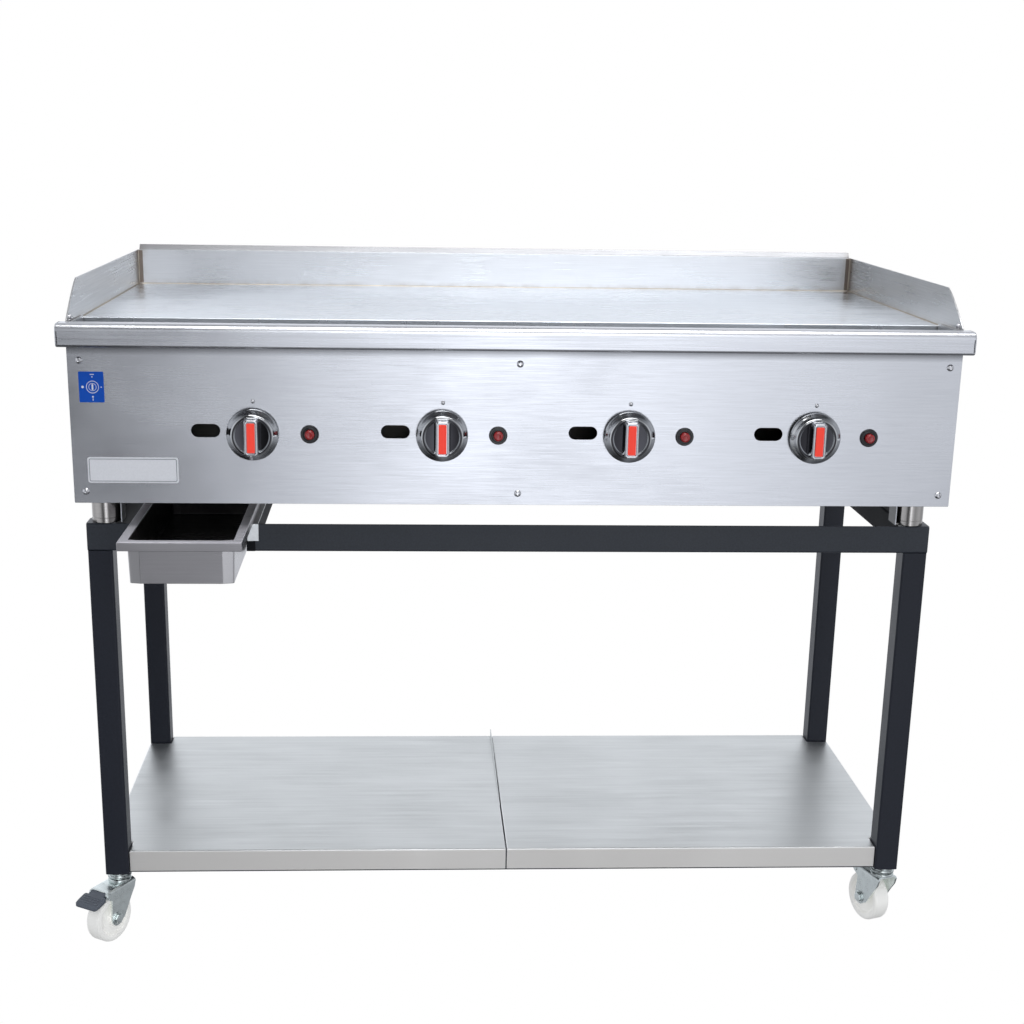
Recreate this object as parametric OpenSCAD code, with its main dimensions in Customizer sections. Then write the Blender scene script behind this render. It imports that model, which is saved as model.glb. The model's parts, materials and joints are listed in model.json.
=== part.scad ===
// Gas flat top griddle on a wheeled stand.
// Millimetres. +X right, +Y towards the back, +Z up. The origin lies on the floor, at the centre of
// the whole footprint, with the grease drawer partly pulled out and the gas inlet at the back.
// Inside each module, y = 0 is the face of the front panel: at_panel() carries it to its place.

/* [Body] */
// Width of the griddle body and of its front panel
body_w = 1200; // [1000:10:1400]
// Depth of the body, from the front panel to the rear panel
body_d = 600; // [560:5:700]
// Height of the front panel
panel_h = 212; // [200:1:240]
// Thickness of the body's sheet metal
sheet_t = 1.5; // [1:0.1:2]
// Thickness of the splash and gutter sheet
splash_t = 2; // [1.5:0.1:3]

/* [Cooking plate] */
// Thickness of the cooking plate
plate_t = 12; // [8:1:20]
// Plate's top face above the top edge of the front panel
plate_rise = 26; // [24:1:30]
// Width of the grease gutter in front of the plate
gutter_w = 103; // [90:1:120]
// Height of the side splashes above the plate
side_splash_h = 55; // [40:1:90]
// Height of the backsplash above the plate
backsplash_h = 64; // [50:1:120]
// Height of the bullnose rail
rail_h = 31; // [28:1:36]
// How far the rail stands in front of the panel
rail_out = 20; // [14:1:26]
// How far the rail reaches past each side of the body
rail_past = 10; // [6:1:14]

/* [Controls] */
// Distance from one burner's controls to the next
burner_pitch = 254; // [230:1:270]
// Offset of the row of knobs to the right of the centre
knob_shift = 23; // [0:1:30]
// Height of the knobs above the panel's bottom edge
knob_z = 96; // [90:1:110]
// Diameter of a knob's skirt
knob_d = 70; // [60:1:74]
// Travel of a knob when it is pushed
knob_push = 4; // [2:0.5:4]
// Distance from a knob to its piezo button
igniter_dx = 76; // [60:1:90]
// Diameter of a piezo igniter's bezel
bezel_d = 25; // [22:0.5:30]
// Diameter of a piezo button
button_d = 13; // [10:0.5:14]
// Width of a viewing slot
slot_w = 39; // [30:1:44]
// Height of a viewing slot
slot_h = 18; // [12:1:20]

/* [Stand] */
// Width of the stand over its legs
stand_w = 1204; // [1100:2:1300]
// Depth of the stand over its legs
stand_d = 481; // [440:1:520]
// Distance of the legs' front faces behind the front panel
leg_back = 75.5; // [60:0.5:90]
// Side of the square leg tube
leg_s = 35; // [30:1:40]
// Height of the stand's top frame above the floor
stand_h = 644; // [600:1:700]
// Height of the top frame's tube
top_rail_h = 40; // [30:1:50]
// Wall of the stand's tubes
tube_t = 2; // [1.5:0.5:3]
// Gap between the stand and the body, taken up by the feet
foot_h = 47; // [40:1:60]
// Height of the shelf's top face above the floor
shelf_z = 138; // [130:1:200]
// Height of the shelf's apron
apron_h = 33; // [30:1:34]

/* [Grease drawer] */
// Width of the drawer over its rim
drawer_w = 164; // [140:1:180]
// Depth of the drawer over its rim
drawer_d = 420; // [360:5:430]
// Height of the drawer
drawer_h = 60; // [50:1:64]
// Distance of the drawer's centre line to the left of the centre
drawer_x = 450; // [440:1:470]
// How far the drawer is pulled out in front of the panel
drawer_out = 85; // [0:1:120]

/* [Casters] */
// Height from the floor to the foot of the legs
caster_h = 102; // [100:1:104]
// Diameter of a caster wheel
wheel_d = 75; // [70:1:76]
// Width of a caster wheel's tread
wheel_w = 25; // [22:1:27]
// Trail of the wheel behind the swivel axis
trail = 28; // [24:1:30]

/* [Gas inlet] */
// Outer diameter of the half-inch inlet thread
inlet_d = 21; // [20.9:0.1:21.3]
// How far the inlet stands out behind the body
inlet_out = 30; // [25:1:40]

/* [Hidden] */
// Facets of round parts: every value is above 12, so they stay true cylinders
$fn = 48;
// Small play between parts that turn or slide in each other, on the radius
play = 0.05;
// How far a cutting shape passes the face that it cuts
cut = 1;

// Levels above the floor
body_z = stand_h + foot_h;
panel_top = body_z + panel_h;
plate_z = panel_top + plate_rise;
rail_top = panel_top + rail_h;
side_splash_top = plate_z + side_splash_h;
backsplash_top = plate_z + backsplash_h;
panel_y = -(body_d + inlet_out - drawer_out) / 2;

// Body interior
half_w = body_w / 2;
plate_back = body_d - 3;
rail_lap = 6;
gutter_floor = plate_z - 61;
side_panel_top = plate_z - 19;
control_z = body_z + knob_z;
knob_x = [for (i = [0:3]) knob_shift + (i - 1.5) * burner_pitch];
slot_dx = -63;
slot_dz = 4;
burner_r = 19;
bell_r = 17;
burner_front = 88;
burner_back = 565;
manifold_r = 13.45;
manifold_y = 55;
valve_half = 16;
manifold_z = control_z - valve_half - manifold_r;
manifold_end = 545;
inlet_x = 560;
elbow_r = 15;
rest_front = 150;
rest_back = 538;
rest_half = 530;
chute_x = -482;
chute_y = 52;
chute_s = 50;
chute_bottom = 686;
electrode_dx = 27;
electrode_z = control_z + 26;
screw_low = 16;
screw_high = 193;
screw_x = half_w - 16;
screw_r = 2;
pin_r = 1.5;
pin_dx = 1;
pin_z = 140;

// Feet stand at the corners of the stand, a little inside the middles of the legs
foot_r = 20.5;
leg_mid = stand_w / 2 - leg_s / 2;
leg_ys = [leg_back + leg_s / 2, leg_back + stand_d - leg_s / 2];
foot_x = leg_mid - 8.5;
foot_ys = [leg_ys[0] + 3, leg_ys[1] - 3];

// Stand
leg_in = stand_w / 2 - leg_s;
leg_rear = leg_back + stand_d - leg_s;
leg_top = stand_h - top_rail_h;
shelf_t = 1.2;
shelf_front = leg_back + 5;
shelf_back = leg_back + stand_d - 4.5;
lower_rail_s = 30;
lower_rail_top = shelf_z - shelf_t;
lower_rail_y = [shelf_front + 1.5, shelf_back - 1.5 - lower_rail_s];
seam_gap = 1.5;

// Drawer, its runners and the bars of its bay
drawer_t = 1.5;
rim_over = 13;
rim_skirt = 12;
runner_t = 1.5;
runner_in = drawer_w / 2 - 9;
runner_w = 16;
runner_tab = 26;
drawer_top = stand_h + runner_t + 0.1 + rim_skirt;
bar_w = 10;
bar_in = runner_in + 1;

// Casters: front left, front right, rear left, rear right, with the heading of each trail
caster_x = [-leg_mid, leg_mid, -leg_mid, leg_mid];
caster_y = [leg_ys[0], leg_ys[0], leg_ys[1], leg_ys[1]];
caster_a = [239, 110, 75, 43];
wheel_r = wheel_d / 2;
race_r = 18;
kingpin_r = 5;
axle_r = 5;
fork_t = 2.5;
fork_in = wheel_w / 2 + 2;
fork_top = caster_h - 10;
pedal_pivot = [44, 80];
rivet_r = 2.5;
washer = 0.1;

// ---------- helpers ----------

// Points of an arc about a centre, from angle a0 to a1, in n steps
function arc(c, r, a0, a1, n = 6) =
    [for (i = [0:n]) let (a = a0 + (a1 - a0) * i / n) [c[0] + r * cos(a), c[1] + r * sin(a)]];

// Outline of a rectangle with round corners, about its centre
function round_rect(w, d, r) = concat(
    arc([w / 2 - r, d / 2 - r], r, 0, 90), arc([r - w / 2, d / 2 - r], r, 90, 180),
    arc([r - w / 2, r - d / 2], r, 180, 270), arc([w / 2 - r, r - d / 2], r, 270, 360));

// Moves a shape from the panel's own frame to its place
module at_panel() {
    translate([0, panel_y, 0]) children();
}

// A box between two corners
module box(low, high) {
    translate(low) cube(high - low);
}

// A profile drawn in (y, z), extruded along X from x0 to x1
module along_x(x0, x1) {
    translate([x0, 0, 0]) rotate([90, 0, 90]) linear_extrude(x1 - x0) children();
}

// A cylinder along Y from y0 to y1
module along_y(x, z, y0, y1, r) {
    translate([x, y0, z]) rotate([-90, 0, 0]) cylinder(h = y1 - y0, r = r);
}

// A profile of [radius, y] points turned about the Y axis
module turned(x, z, points) {
    translate([x, 0, z]) rotate([-90, 0, 0]) rotate_extrude() polygon(points);
}

// A round rod from a to b
module rod(a, b, r) {
    d = b - a;
    translate(a) rotate([0, acos(d[2] / norm(d)), atan2(d[1], d[0])]) cylinder(h = norm(d), r = r, $fn = 24);
}

// The same shape on the left and on the right
module both_sides() {
    children();
    mirror([1, 0, 0]) children();
}

// A square or rectangular tube between two corners, open at both ends along one axis
module tube_box(low, high, wall, axis) {
    inset = [for (i = [0:2]) i == axis ? -cut : wall];
    difference() {
        box(low, high);
        box(low + inset, high - inset);
    }
}

// Carries a caster part, drawn with the swivel axis on Z and the trail along +X, to its leg
module at_caster(i) {
    at_panel() translate([caster_x[i], caster_y[i], 0]) rotate([0, 0, caster_a[i]]) children();
}

// ---------- cooking top ----------

module cooking_plate() {
    color([0.78, 0.8, 0.82]) at_panel()
        box([splash_t - half_w, gutter_w, plate_z - plate_t], [half_w - splash_t, plate_back, plate_z]);
}

module backsplash() {
    fold = side_splash_top + 0.5;
    rear = plate_back + splash_t;
    profile = [
        [plate_back, plate_z], [plate_back, fold], [plate_back + 6.5, backsplash_top],
        [plate_back + 9, backsplash_top], [rear, fold - 0.8], [rear, plate_z]];
    color([0.7, 0.7, 0.73]) at_panel() {
        along_x(4 - half_w, half_w - 4) polygon(profile);
        box([-half_w, plate_back, plate_z], [half_w, rear, side_splash_top]);
    }
}

module side_splashes() {
    profile = [
        [rail_lap, side_panel_top], [rail_lap, rail_top + 2], [gutter_w - 23, side_splash_top],
        [plate_back, side_splash_top], [plate_back, side_panel_top]];
    color([0.72, 0.72, 0.74]) at_panel() both_sides()
        along_x(half_w - splash_t, half_w) polygon(profile);
}

// Folded bullnose: top flange, round nose, face and bottom return, with a cap at each end
module front_rail() {
    t = splash_t;
    nose = 10;
    toe = 3;
    outer = concat(
        [[rail_lap, rail_top]], arc([nose - rail_out, rail_top - nose], nose, 90, 180),
        arc([toe - rail_out, panel_top + toe], toe, 180, 270, 3), [[sheet_t, panel_top]]);
    inner = concat(
        [[sheet_t, panel_top + t]], arc([toe - rail_out, panel_top + toe], toe - t, 270, 180, 3),
        arc([nose - rail_out, rail_top - nose], nose - t, 180, 90), [[rail_lap, rail_top - t]]);
    end = half_w + rail_past;
    color([0.66, 0.67, 0.7]) at_panel() {
        along_x(-end, end) polygon(concat(outer, inner));
        both_sides() along_x(end - t, end) polygon(outer);
    }
}

// Trough between the rail and the plate, with a drain over the chute
module grease_gutter() {
    t = splash_t;
    front = 4;
    back = gutter_w + 7;
    x = half_w - 3;
    top = rail_top - t;
    shelf = plate_z - plate_t;
    walls = [
        [front, gutter_floor], [front, top], [front + t, top], [front + t, gutter_floor + t],
        [back - t, gutter_floor + t], [back - t, shelf], [back, shelf], [back, gutter_floor]];
    end_wall = [
        [front, gutter_floor], [front, top], [gutter_w - 3, top], [gutter_w - 3, shelf], [back, shelf],
        [back, gutter_floor]];
    drain = chute_s / 2 - sheet_t;
    color([0.7, 0.7, 0.72]) at_panel() difference() {
        union() {
            along_x(-x, x) polygon(walls);
            both_sides() along_x(x - t, x) polygon(end_wall);
        }
        box([chute_x - drain, chute_y - drain, gutter_floor - cut],
            [chute_x + drain, chute_y + drain, gutter_floor + t + cut]);
    }
}

module grease_chute() {
    s = chute_s / 2;
    flange = s + 10;
    color([0.68, 0.68, 0.7]) at_panel() difference() {
        union() {
            box([chute_x - s, chute_y - s, chute_bottom], [chute_x + s, chute_y + s, gutter_floor]);
            box([chute_x - flange, chute_y - flange, gutter_floor - sheet_t],
                [chute_x + flange, chute_y + flange, gutter_floor]);
        }
        box([chute_x - s + sheet_t, chute_y - s + sheet_t, chute_bottom - cut],
            [chute_x + s - sheet_t, chute_y + s - sheet_t, gutter_floor + cut]);
    }
}

// ---------- body shell ----------

module stadium_slot(x) {
    r = slot_h / 2;
    for (dx = [r - slot_w / 2, slot_w / 2 - r])
        along_y(x + dx, control_z + slot_dz, -cut, sheet_t + cut, r);
    box([x + r - slot_w / 2, -cut, control_z + slot_dz - r],
        [x - r + slot_w / 2, sheet_t + cut, control_z + slot_dz + r]);
}

module front_panel() {
    flange = 16;
    t = sheet_t;
    color([0.66, 0.67, 0.7]) at_panel() difference() {
        union() {
            box([-half_w, 0, body_z], [half_w, t, panel_top]);
            box([t - half_w, 0, body_z], [half_w - t, flange, body_z + t]);
        }
        for (x = knob_x) {
            stadium_slot(x + slot_dx);
            along_y(x, control_z, -cut, t + cut, 6);
            along_y(x + igniter_dx, control_z, -cut, t + cut, 11);
            along_y(x + pin_dx, body_z + pin_z, -cut, t + cut, pin_r + play);
        }
        for (x = [-screw_x, 0, screw_x], z = [screw_low, screw_high])
            along_y(x, body_z + z, -cut, t + cut, screw_r + play);
    }
}

module side_panels() {
    t = sheet_t;
    flange = 42;
    color([0.64, 0.65, 0.68]) at_panel() both_sides() {
        box([half_w - t, t, body_z], [half_w, body_d - t, side_panel_top]);
        box([half_w - flange, flange / 2, body_z], [half_w, body_d - t, body_z + t]);
    }
}

module rear_panel() {
    t = sheet_t;
    vents = 8;
    color([0.62, 0.63, 0.66]) at_panel() difference() {
        box([-half_w, body_d - t, body_z], [half_w, body_d, plate_z]);
        for (i = [0:vents - 1], z = [plate_z - 54, plate_z - 79])
            translate([(i + 0.5 - vents / 2) * 130, body_d - t / 2, z])
                cube([100, t + 2 * cut, 12], center = true);
        along_y(inlet_x, manifold_z, body_d - t - cut, body_d + cut, inlet_d / 2 + 1);
    }
}

module bottom_tray() {
    t = sheet_t;
    x = half_w - 30;
    front = 10;
    back = body_d - 4;
    z = body_z + t;
    lip = 14;
    gap = chute_s / 2 + 3;
    color([0.55, 0.56, 0.58]) at_panel() difference() {
        union() {
            box([-x, front, z], [x, back, z + t]);
            box([-x, back - t, z], [x, back, z + lip]);
            both_sides() box([x - t, front, z], [x, back, z + lip]);
        }
        box([chute_x - gap, chute_y - gap, z - cut], [chute_x + gap, chute_y + gap, z + t + cut]);
        for (i = [0:3], y = [210:70:490])
            box([knob_x[i] - 80, y, z - cut], [knob_x[i] + 40, y + 16, z + t + cut]);
    }
}

// Two angle irons that carry the plate, behind the gutter and in front of the rear panel
module plate_bearers() {
    t = 3;
    leg = 30;
    top = plate_z - plate_t;
    x = half_w - splash_t;
    color([0.35, 0.35, 0.37]) at_panel() for (y = [gutter_w + 9, body_d - 40]) {
        box([-x, y, top - leg], [x, y + t, top]);
        box([-x, y, top - t], [x, y + leg, top]);
    }
}

// Two folded rails with a half-round seat for each burner
module burner_rests() {
    t = 2;
    z = body_z + 2 * sheet_t;
    color([0.6, 0.6, 0.62]) at_panel() for (y = [rest_front, rest_back]) difference() {
        union() {
            box([-rest_half, y, z], [rest_half, y + t, control_z]);
            box([-rest_half, y, z], [rest_half, y + 22, z + t]);
        }
        for (x = knob_x) along_y(x, control_z, y - cut, y + t + cut, burner_r + 0.1);
    }
}

// ---------- gas train ----------

// Tube burner with a bell mouth, a neck and rows of ports on its shoulders
module burner(x) {
    t = 1.5;
    neck = 11;
    outline = [
        [bell_r, burner_front], [neck + t, burner_front + 14], [neck + t, burner_front + 30],
        [burner_r, burner_front + 50], [burner_r, burner_back], [0, burner_back], [0, burner_back - t],
        [burner_r - t, burner_back - t], [burner_r - t, burner_front + 50], [neck, burner_front + 30],
        [neck, burner_front + 14], [bell_r - t, burner_front]];
    difference() {
        turned(x, control_z, outline);
        for (y = [180:28:530], side = [-1, 1]) translate([x, y, control_z]) rotate([0, side * 38, 0])
            box([-1, 0, burner_r / 2], [1, 18, burner_r + cut]);
    }
}

module burners() {
    color([0.5, 0.48, 0.46]) at_panel() for (x = knob_x) burner(x);
}

module gas_manifold() {
    color([0.75, 0.66, 0.4]) at_panel() difference() {
        translate([knob_x[0] - 35, manifold_y, manifold_z]) rotate([0, 90, 0])
            cylinder(h = manifold_end - knob_x[0] + 35, r = manifold_r);
        translate([knob_x[0] - 32, manifold_y, manifold_z]) rotate([0, 90, 0])
            cylinder(h = manifold_end - knob_x[0] + 35, r = manifold_r - 2.6);
    }
}

// Elbow at the manifold's end, the pipe to the back, a lock nut and the threaded end
module gas_inlet_pipe() {
    pipe_r = inlet_d / 2;
    nut_t = 8;
    color([0.78, 0.68, 0.38]) at_panel() difference() {
        union() {
            translate([inlet_x, manifold_y, manifold_z]) sphere(r = elbow_r);
            translate([manifold_end, manifold_y, manifold_z]) rotate([0, 90, 0])
                cylinder(h = inlet_x - manifold_end, r = elbow_r);
            along_y(inlet_x, manifold_z, manifold_y, body_d + inlet_out, pipe_r);
            along_y(inlet_x, manifold_z, manifold_y, manifold_y + 24, elbow_r);
            translate([inlet_x, body_d, manifold_z]) rotate([-90, 0, 0]) cylinder(h = nut_t, r = 17, $fn = 6);
        }
        along_y(inlet_x, manifold_z, manifold_y, body_d + inlet_out + cut, pipe_r - 2.6);
    }
}

// Valve body, threaded neck towards the panel and outlet towards the burner
module gas_valves() {
    color([0.8, 0.68, 0.36]) at_panel() for (x = knob_x) difference() {
        union() {
            box([x - valve_half, 34, control_z - valve_half], [x + valve_half, 70, control_z + valve_half]);
            along_y(x, control_z, 12, 34, 10);
            along_y(x, control_z, 70, 76, 8);
        }
        along_y(x, control_z, 12 - cut, 62, 4 + play);
        along_y(x, control_z, 62 - cut, 76 + cut, 3);
    }
}

module injectors() {
    color([0.85, 0.72, 0.35]) at_panel() for (x = knob_x) difference() {
        union() {
            translate([x, 76, control_z]) rotate([-90, 0, 0]) cylinder(h = 8, r = 7.5, $fn = 6);
            along_y(x, control_z, 84, 94, 4.5);
        }
        along_y(x, control_z, 76 - cut, 92, 3);
        along_y(x, control_z, 92 - cut, 94 + cut, 0.8);
    }
}

// Ceramic rod, wire tip bent over the ports, and the tab that holds it behind the front rest
module electrodes() {
    y0 = rest_front + 2;
    color([0.9, 0.88, 0.82]) at_panel() for (x = knob_x) {
        e = x + electrode_dx;
        box([e - 7, y0, control_z - 22], [e + 7, y0 + 2, electrode_z + 6]);
        along_y(e, electrode_z, y0 - 10, y0 + 30, 3.5);
        rod([e, y0 + 29, electrode_z], [e - 14, y0 + 44, electrode_z - 4], 1.2);
    }
}

module ignition_leads() {
    r = 1.8;
    start = 36;
    color([0.12, 0.12, 0.13]) at_panel() for (x = knob_x) {
        route = [
            [x + igniter_dx, start, control_z], [x + igniter_dx, start + 34, control_z],
            [x + electrode_dx, rest_front - 22, electrode_z], [x + electrode_dx, rest_front - 8, electrode_z]];
        rod(route[0], route[1] + [0, r, 0], r);
        rod(route[1], route[2], r - 0.2);
        rod(route[2] - [0, r, 0], route[3], r);
    }
}

// ---------- controls ----------

module igniter_bezels() {
    bore = button_d / 2 + play;
    barrel = 10.9;
    rear = 28;
    outline = [
        [bore, -3], [bezel_d / 2 - 1, -3], [bezel_d / 2, -2], [bezel_d / 2, 0], [barrel, 0],
        [barrel, sheet_t],
        [14, sheet_t], [14, sheet_t + 4], [barrel, sheet_t + 4], [barrel, rear], [1.6, rear], [1.6, 36],
        [0, 36], [0, 22], [bore, 22]];
    color([0.1, 0.1, 0.11]) at_panel() for (x = knob_x) turned(x + igniter_dx, control_z, outline);
}

module igniter_button(i) {
    r = button_d / 2;
    outline = [[0, 12], [r, 12], [r, -8], [r - 1, -9.4], [r - 3, -10], [0, -10]];
    color([0.72, 0.08, 0.08]) at_panel() turned(knob_x[i] + igniter_dx, control_z, outline);
}

module valve_stem(i) {
    color([0.8, 0.8, 0.78]) at_panel() along_y(knob_x[i], control_z, -20, 52, 4);
}

// Chrome skirt with a bar grip across it; the bar's face has a pocket for the red insert
module knob(i) {
    back = -6;
    front = -34;
    t = 2;
    r = knob_d / 2;
    crown = r - 8;
    skirt = [
        [r, back], [r, back - 2], [crown, back - 12], [crown - 3, back - 13], [0, back - 13],
        [0, back - 13 + t], [crown - 4, back - 13 + t], [crown - 3, back - 11], [r - t, back - 1],
        [r - t, back]];
    color([0.5, 0.5, 0.53]) at_panel() difference() {
        union() {
            turned(knob_x[i], control_z, skirt);
            along_y(knob_x[i], control_z, back - 12, back, 8);
            intersection() {
                along_y(knob_x[i], control_z, front, back - 12, crown - 1);
                box([knob_x[i] - 10, front, control_z - r], [knob_x[i] + 10, back - 12, control_z + r]);
            }
        }
        along_y(knob_x[i], control_z, -20 - play, back + cut, 4 + play);
        box([knob_x[i] - 5.5, front - cut, control_z - 20], [knob_x[i] + 5.5, front + 1.5, control_z + 20]);
    }
}

module knob_insert(i) {
    color([0.9, 0.22, 0.14]) at_panel()
        box([knob_x[i] - 5.4, -34.6, control_z - 19.9], [knob_x[i] + 5.4, -32.5, control_z + 19.9]);
}

// Button-head screws, six in the panel and one low in each side splash, and the pins over the knobs
module panel_fixings() {
    screw = [[0, -2.6], [2.6, -2.4], [4.2, -1.4], [4.8, 0], [screw_r, 0], [screw_r, 3.6], [0, 3.6]];
    pin = [[0, -2.5], [pin_r, -2.3], [2.5, -1], [2.5, 0], [pin_r, 0], [pin_r, 3], [0, 3]];
    color([0.75, 0.75, 0.77]) at_panel() {
        for (x = [-screw_x, 0, screw_x], z = [screw_low, screw_high]) turned(x, body_z + z, screw);
        for (x = knob_x) turned(x + pin_dx, body_z + pin_z, pin);
        both_sides() translate([half_w - splash_t, 24, plate_z + 8]) rotate([0, -90, 0])
            cylinder(h = 2.5, r1 = 4.5, r2 = 3);
    }
}

module nameplate() {
    color([0.82, 0.82, 0.84]) at_panel() translate([-519.5, 0, body_z + 45.5]) rotate([90, 0, 0])
        linear_extrude(1) polygon(round_rect(121, 35, 3));
}

module dial_label() {
    color([0.05, 0.3, 0.7]) at_panel() translate([-569.5, 0, body_z + 157.5]) rotate([90, 0, 0])
        linear_extrude(0.6) polygon(round_rect(33, 41, 1));
}

// ---------- feet, drawer and stand ----------

module feet() {
    outline = [
        [0, 0], [foot_r - 3, 0], [foot_r - 1, 1], [foot_r - 1, 7], [foot_r, 7], [foot_r, foot_h - 2],
        [0, foot_h - 2]];
    color([0.7, 0.68, 0.66]) at_panel() both_sides() for (y = foot_ys)
        translate([foot_x, y, stand_h]) rotate_extrude() polygon(outline);
}

// Angle under each corner of the body: the foot bolts to its top, and its leg reaches down to the stand
module foot_brackets() {
    t = 2;
    inside = foot_x - foot_r - 3.5;
    color([0.72, 0.72, 0.74]) at_panel() both_sides() for (y = foot_ys) {
        box([inside, y - 16, body_z - t], [foot_x + 20, y + 16, body_z]);
        box([inside, y - 16, stand_h + 1], [inside + sheet_t, y + 16, body_z]);
    }
}

// Round-cornered pan whose folded rim runs on the two strips
module grease_drawer() {
    y0 = drawer_d / 2 - drawer_out;
    w = drawer_w - 2 * rim_over;
    d = drawer_d - 2 * rim_over;
    t = drawer_t;
    corner = 12;
    color([0.62, 0.62, 0.63]) at_panel() translate([-drawer_x, y0, drawer_top]) {
        difference() {
            translate([0, 0, -drawer_h]) linear_extrude(drawer_h) polygon(round_rect(w, d, corner));
            translate([0, 0, t - drawer_h]) linear_extrude(drawer_h)
                polygon(round_rect(w - 2 * t, d - 2 * t, corner - t));
        }
        translate([0, 0, -t]) linear_extrude(t) difference() {
            square([drawer_w, drawer_d], center = true);
            polygon(round_rect(w - t, d - t, corner - t / 2));
        }
        translate([0, 0, -rim_skirt]) linear_extrude(rim_skirt) difference() {
            square([drawer_w, drawer_d], center = true);
            square([drawer_w - 2 * t, drawer_d - 2 * t], center = true);
        }
    }
}

// Two strips on top of the frame; each hooks over the front with a tab
module drawer_runners() {
    color([0.8, 0.82, 0.82]) at_panel() for (side = [-1, 1]) {
        x0 = -drawer_x + min(side * runner_in, side * (runner_in + runner_w));
        top = stand_h + runner_t;
        box([x0, leg_back - runner_t, stand_h], [x0 + runner_w, leg_back + stand_d, top]);
        box([x0, leg_back - runner_t, top - runner_tab], [x0 + runner_w, leg_back, top]);
    }
}

module legs() {
    color([0.2, 0.21, 0.23]) at_panel() both_sides() for (y = [leg_back, leg_rear])
        tube_box([leg_in, y, caster_h], [stand_w / 2, y + leg_s, leg_top], tube_t, 2);
}

// Length of tube from x0 to x1, with closed ends and a drain hole in its underside
module closed_rail(x0, x1, y) {
    inset = [tube_t, tube_t, tube_t];
    difference() {
        box([x0, y, leg_top], [x1, y + leg_s, stand_h]);
        box([x0, y, leg_top] + inset, [x1, y + leg_s, stand_h] - inset);
        translate([(x0 + x1) / 2, y + leg_s / 2, leg_top - cut]) cylinder(h = tube_t + 2 * cut, r = 3);
    }
}

// Length of angle from x0 to x1: a front wall and a floor
module angle_rail(x0, x1, y) {
    box([x0, y, leg_top], [x1, y + leg_s, leg_top + tube_t]);
    box([x0, y, leg_top], [x1, y + tube_t, stand_h]);
}

// Front rail, a block over each leg and an angle from there to the drawer's bay, and the whole rear rail
module top_cross_rails() {
    end = stand_w / 2;
    bay = bar_in + bar_w;
    color([0.2, 0.21, 0.23]) at_panel() {
        closed_rail(-end, -leg_in, leg_back);
        angle_rail(-leg_in - 1, -drawer_x - bay, leg_back);
        angle_rail(bay - drawer_x, leg_in + 1, leg_back);
        closed_rail(leg_in, end, leg_back);
        closed_rail(-end, end, leg_rear);
    }
}

// Side rails over the legs, and the flat bars on either side of the drawer's bay
module top_side_rails() {
    color([0.2, 0.21, 0.23]) at_panel() {
        both_sides()
            tube_box([leg_in, leg_back + leg_s, leg_top], [stand_w / 2, leg_rear, stand_h], tube_t, 1);
        for (side = [-1, 1]) {
            x0 = -drawer_x + min(side * bar_in, side * (bar_in + bar_w));
            box([x0, leg_back, leg_top], [x0 + bar_w, leg_rear, stand_h]);
        }
    }
}

// Rails under the shelf: front and rear ones between the legs, and side ones under the trays' ends
module lower_rails() {
    side = leg_in - 3;
    s = lower_rail_s;
    color([0.2, 0.21, 0.23]) at_panel() {
        for (y = lower_rail_y)
            tube_box([-leg_in, y, caster_h], [leg_in, y + s, lower_rail_top], tube_t, 0);
        both_sides() tube_box([side - s, lower_rail_y[0] + s, caster_h],
            [side, lower_rail_y[1], lower_rail_top], tube_t, 1);
    }
}

// Outline of the right tray, notched round the legs, drawn in by a distance t
function tray_outline(t) = let (inner = leg_in - 1 - t, outer = stand_w / 2 - t)
    let (y0 = leg_back + leg_s + 2.5 + t, y1 = leg_rear - 2 - t, x = seam_gap / 2 + t)
    [[x, shelf_front + t], [inner, shelf_front + t], [inner, y0], [outer, y0],
     [outer, y1], [inner, y1], [inner, shelf_back - t], [x, shelf_back - t]];

// Folded tray: a top sheet with an apron all round, cut away over the long rails
module shelf_tray() {
    t = shelf_t;
    low = shelf_z - apron_h;
    notch = 0.3;
    difference() {
        translate([0, 0, low]) linear_extrude(apron_h) polygon(tray_outline(0));
        translate([0, 0, low - cut]) linear_extrude(apron_h + cut - t) polygon(tray_outline(t));
        for (y = lower_rail_y)
            box([0, y - notch, low - cut], [stand_w / 2 + cut, y + lower_rail_s + notch, shelf_z - t]);
    }
}

// The left tray's inner edge stands up towards the back
module shelf_left() {
    x = -seam_gap / 2;
    upstand = [[shelf_front + 170, shelf_z], [shelf_back, shelf_z + 12], [shelf_back, shelf_z]];
    color([0.8, 0.82, 0.82]) at_panel() {
        mirror([1, 0, 0]) shelf_tray();
        along_x(x - shelf_t, x) polygon(upstand);
    }
}

module shelf_right() {
    color([0.8, 0.82, 0.82]) at_panel() shelf_tray();
}

// ---------- casters ----------

// Square plug in the leg, upper race and kingpin: everything above the swivel
module caster_stems() {
    plug = leg_s - 2 * tube_t - 0.2;
    outline = [
        [0, fork_top - 12], [8, fork_top - 12], [8, fork_top - 8.2], [kingpin_r, fork_top - 8.2],
        [kingpin_r, fork_top + 0.5],
        [race_r - 2, fork_top + 0.5], [race_r, fork_top + 3], [race_r, caster_h - 2],
        [race_r - 2, caster_h], [0, caster_h]];
    color([0.72, 0.75, 0.78]) for (i = [0:3]) at_panel() translate([caster_x[i], caster_y[i], 0]) {
        rotate_extrude() polygon(outline);
        translate([-plug / 2, -plug / 2, caster_h]) cube([plug, plug, 24]);
    }
}

// One cheek of the fork, in (x, z): from the crown down to the axle, with a lug where it holds a pedal
function cheek(lug) = concat(
    [[-14, fork_top - 7], [-12, fork_top - 18], [trail - 11, wheel_r - 6]],
    arc([trail, wheel_r], 11, 240, 360), [[trail + 9, fork_top - 22]],
    lug ? arc(pedal_pivot, 6, -60, 90) : [], [[26, fork_top - 7]]);

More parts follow.
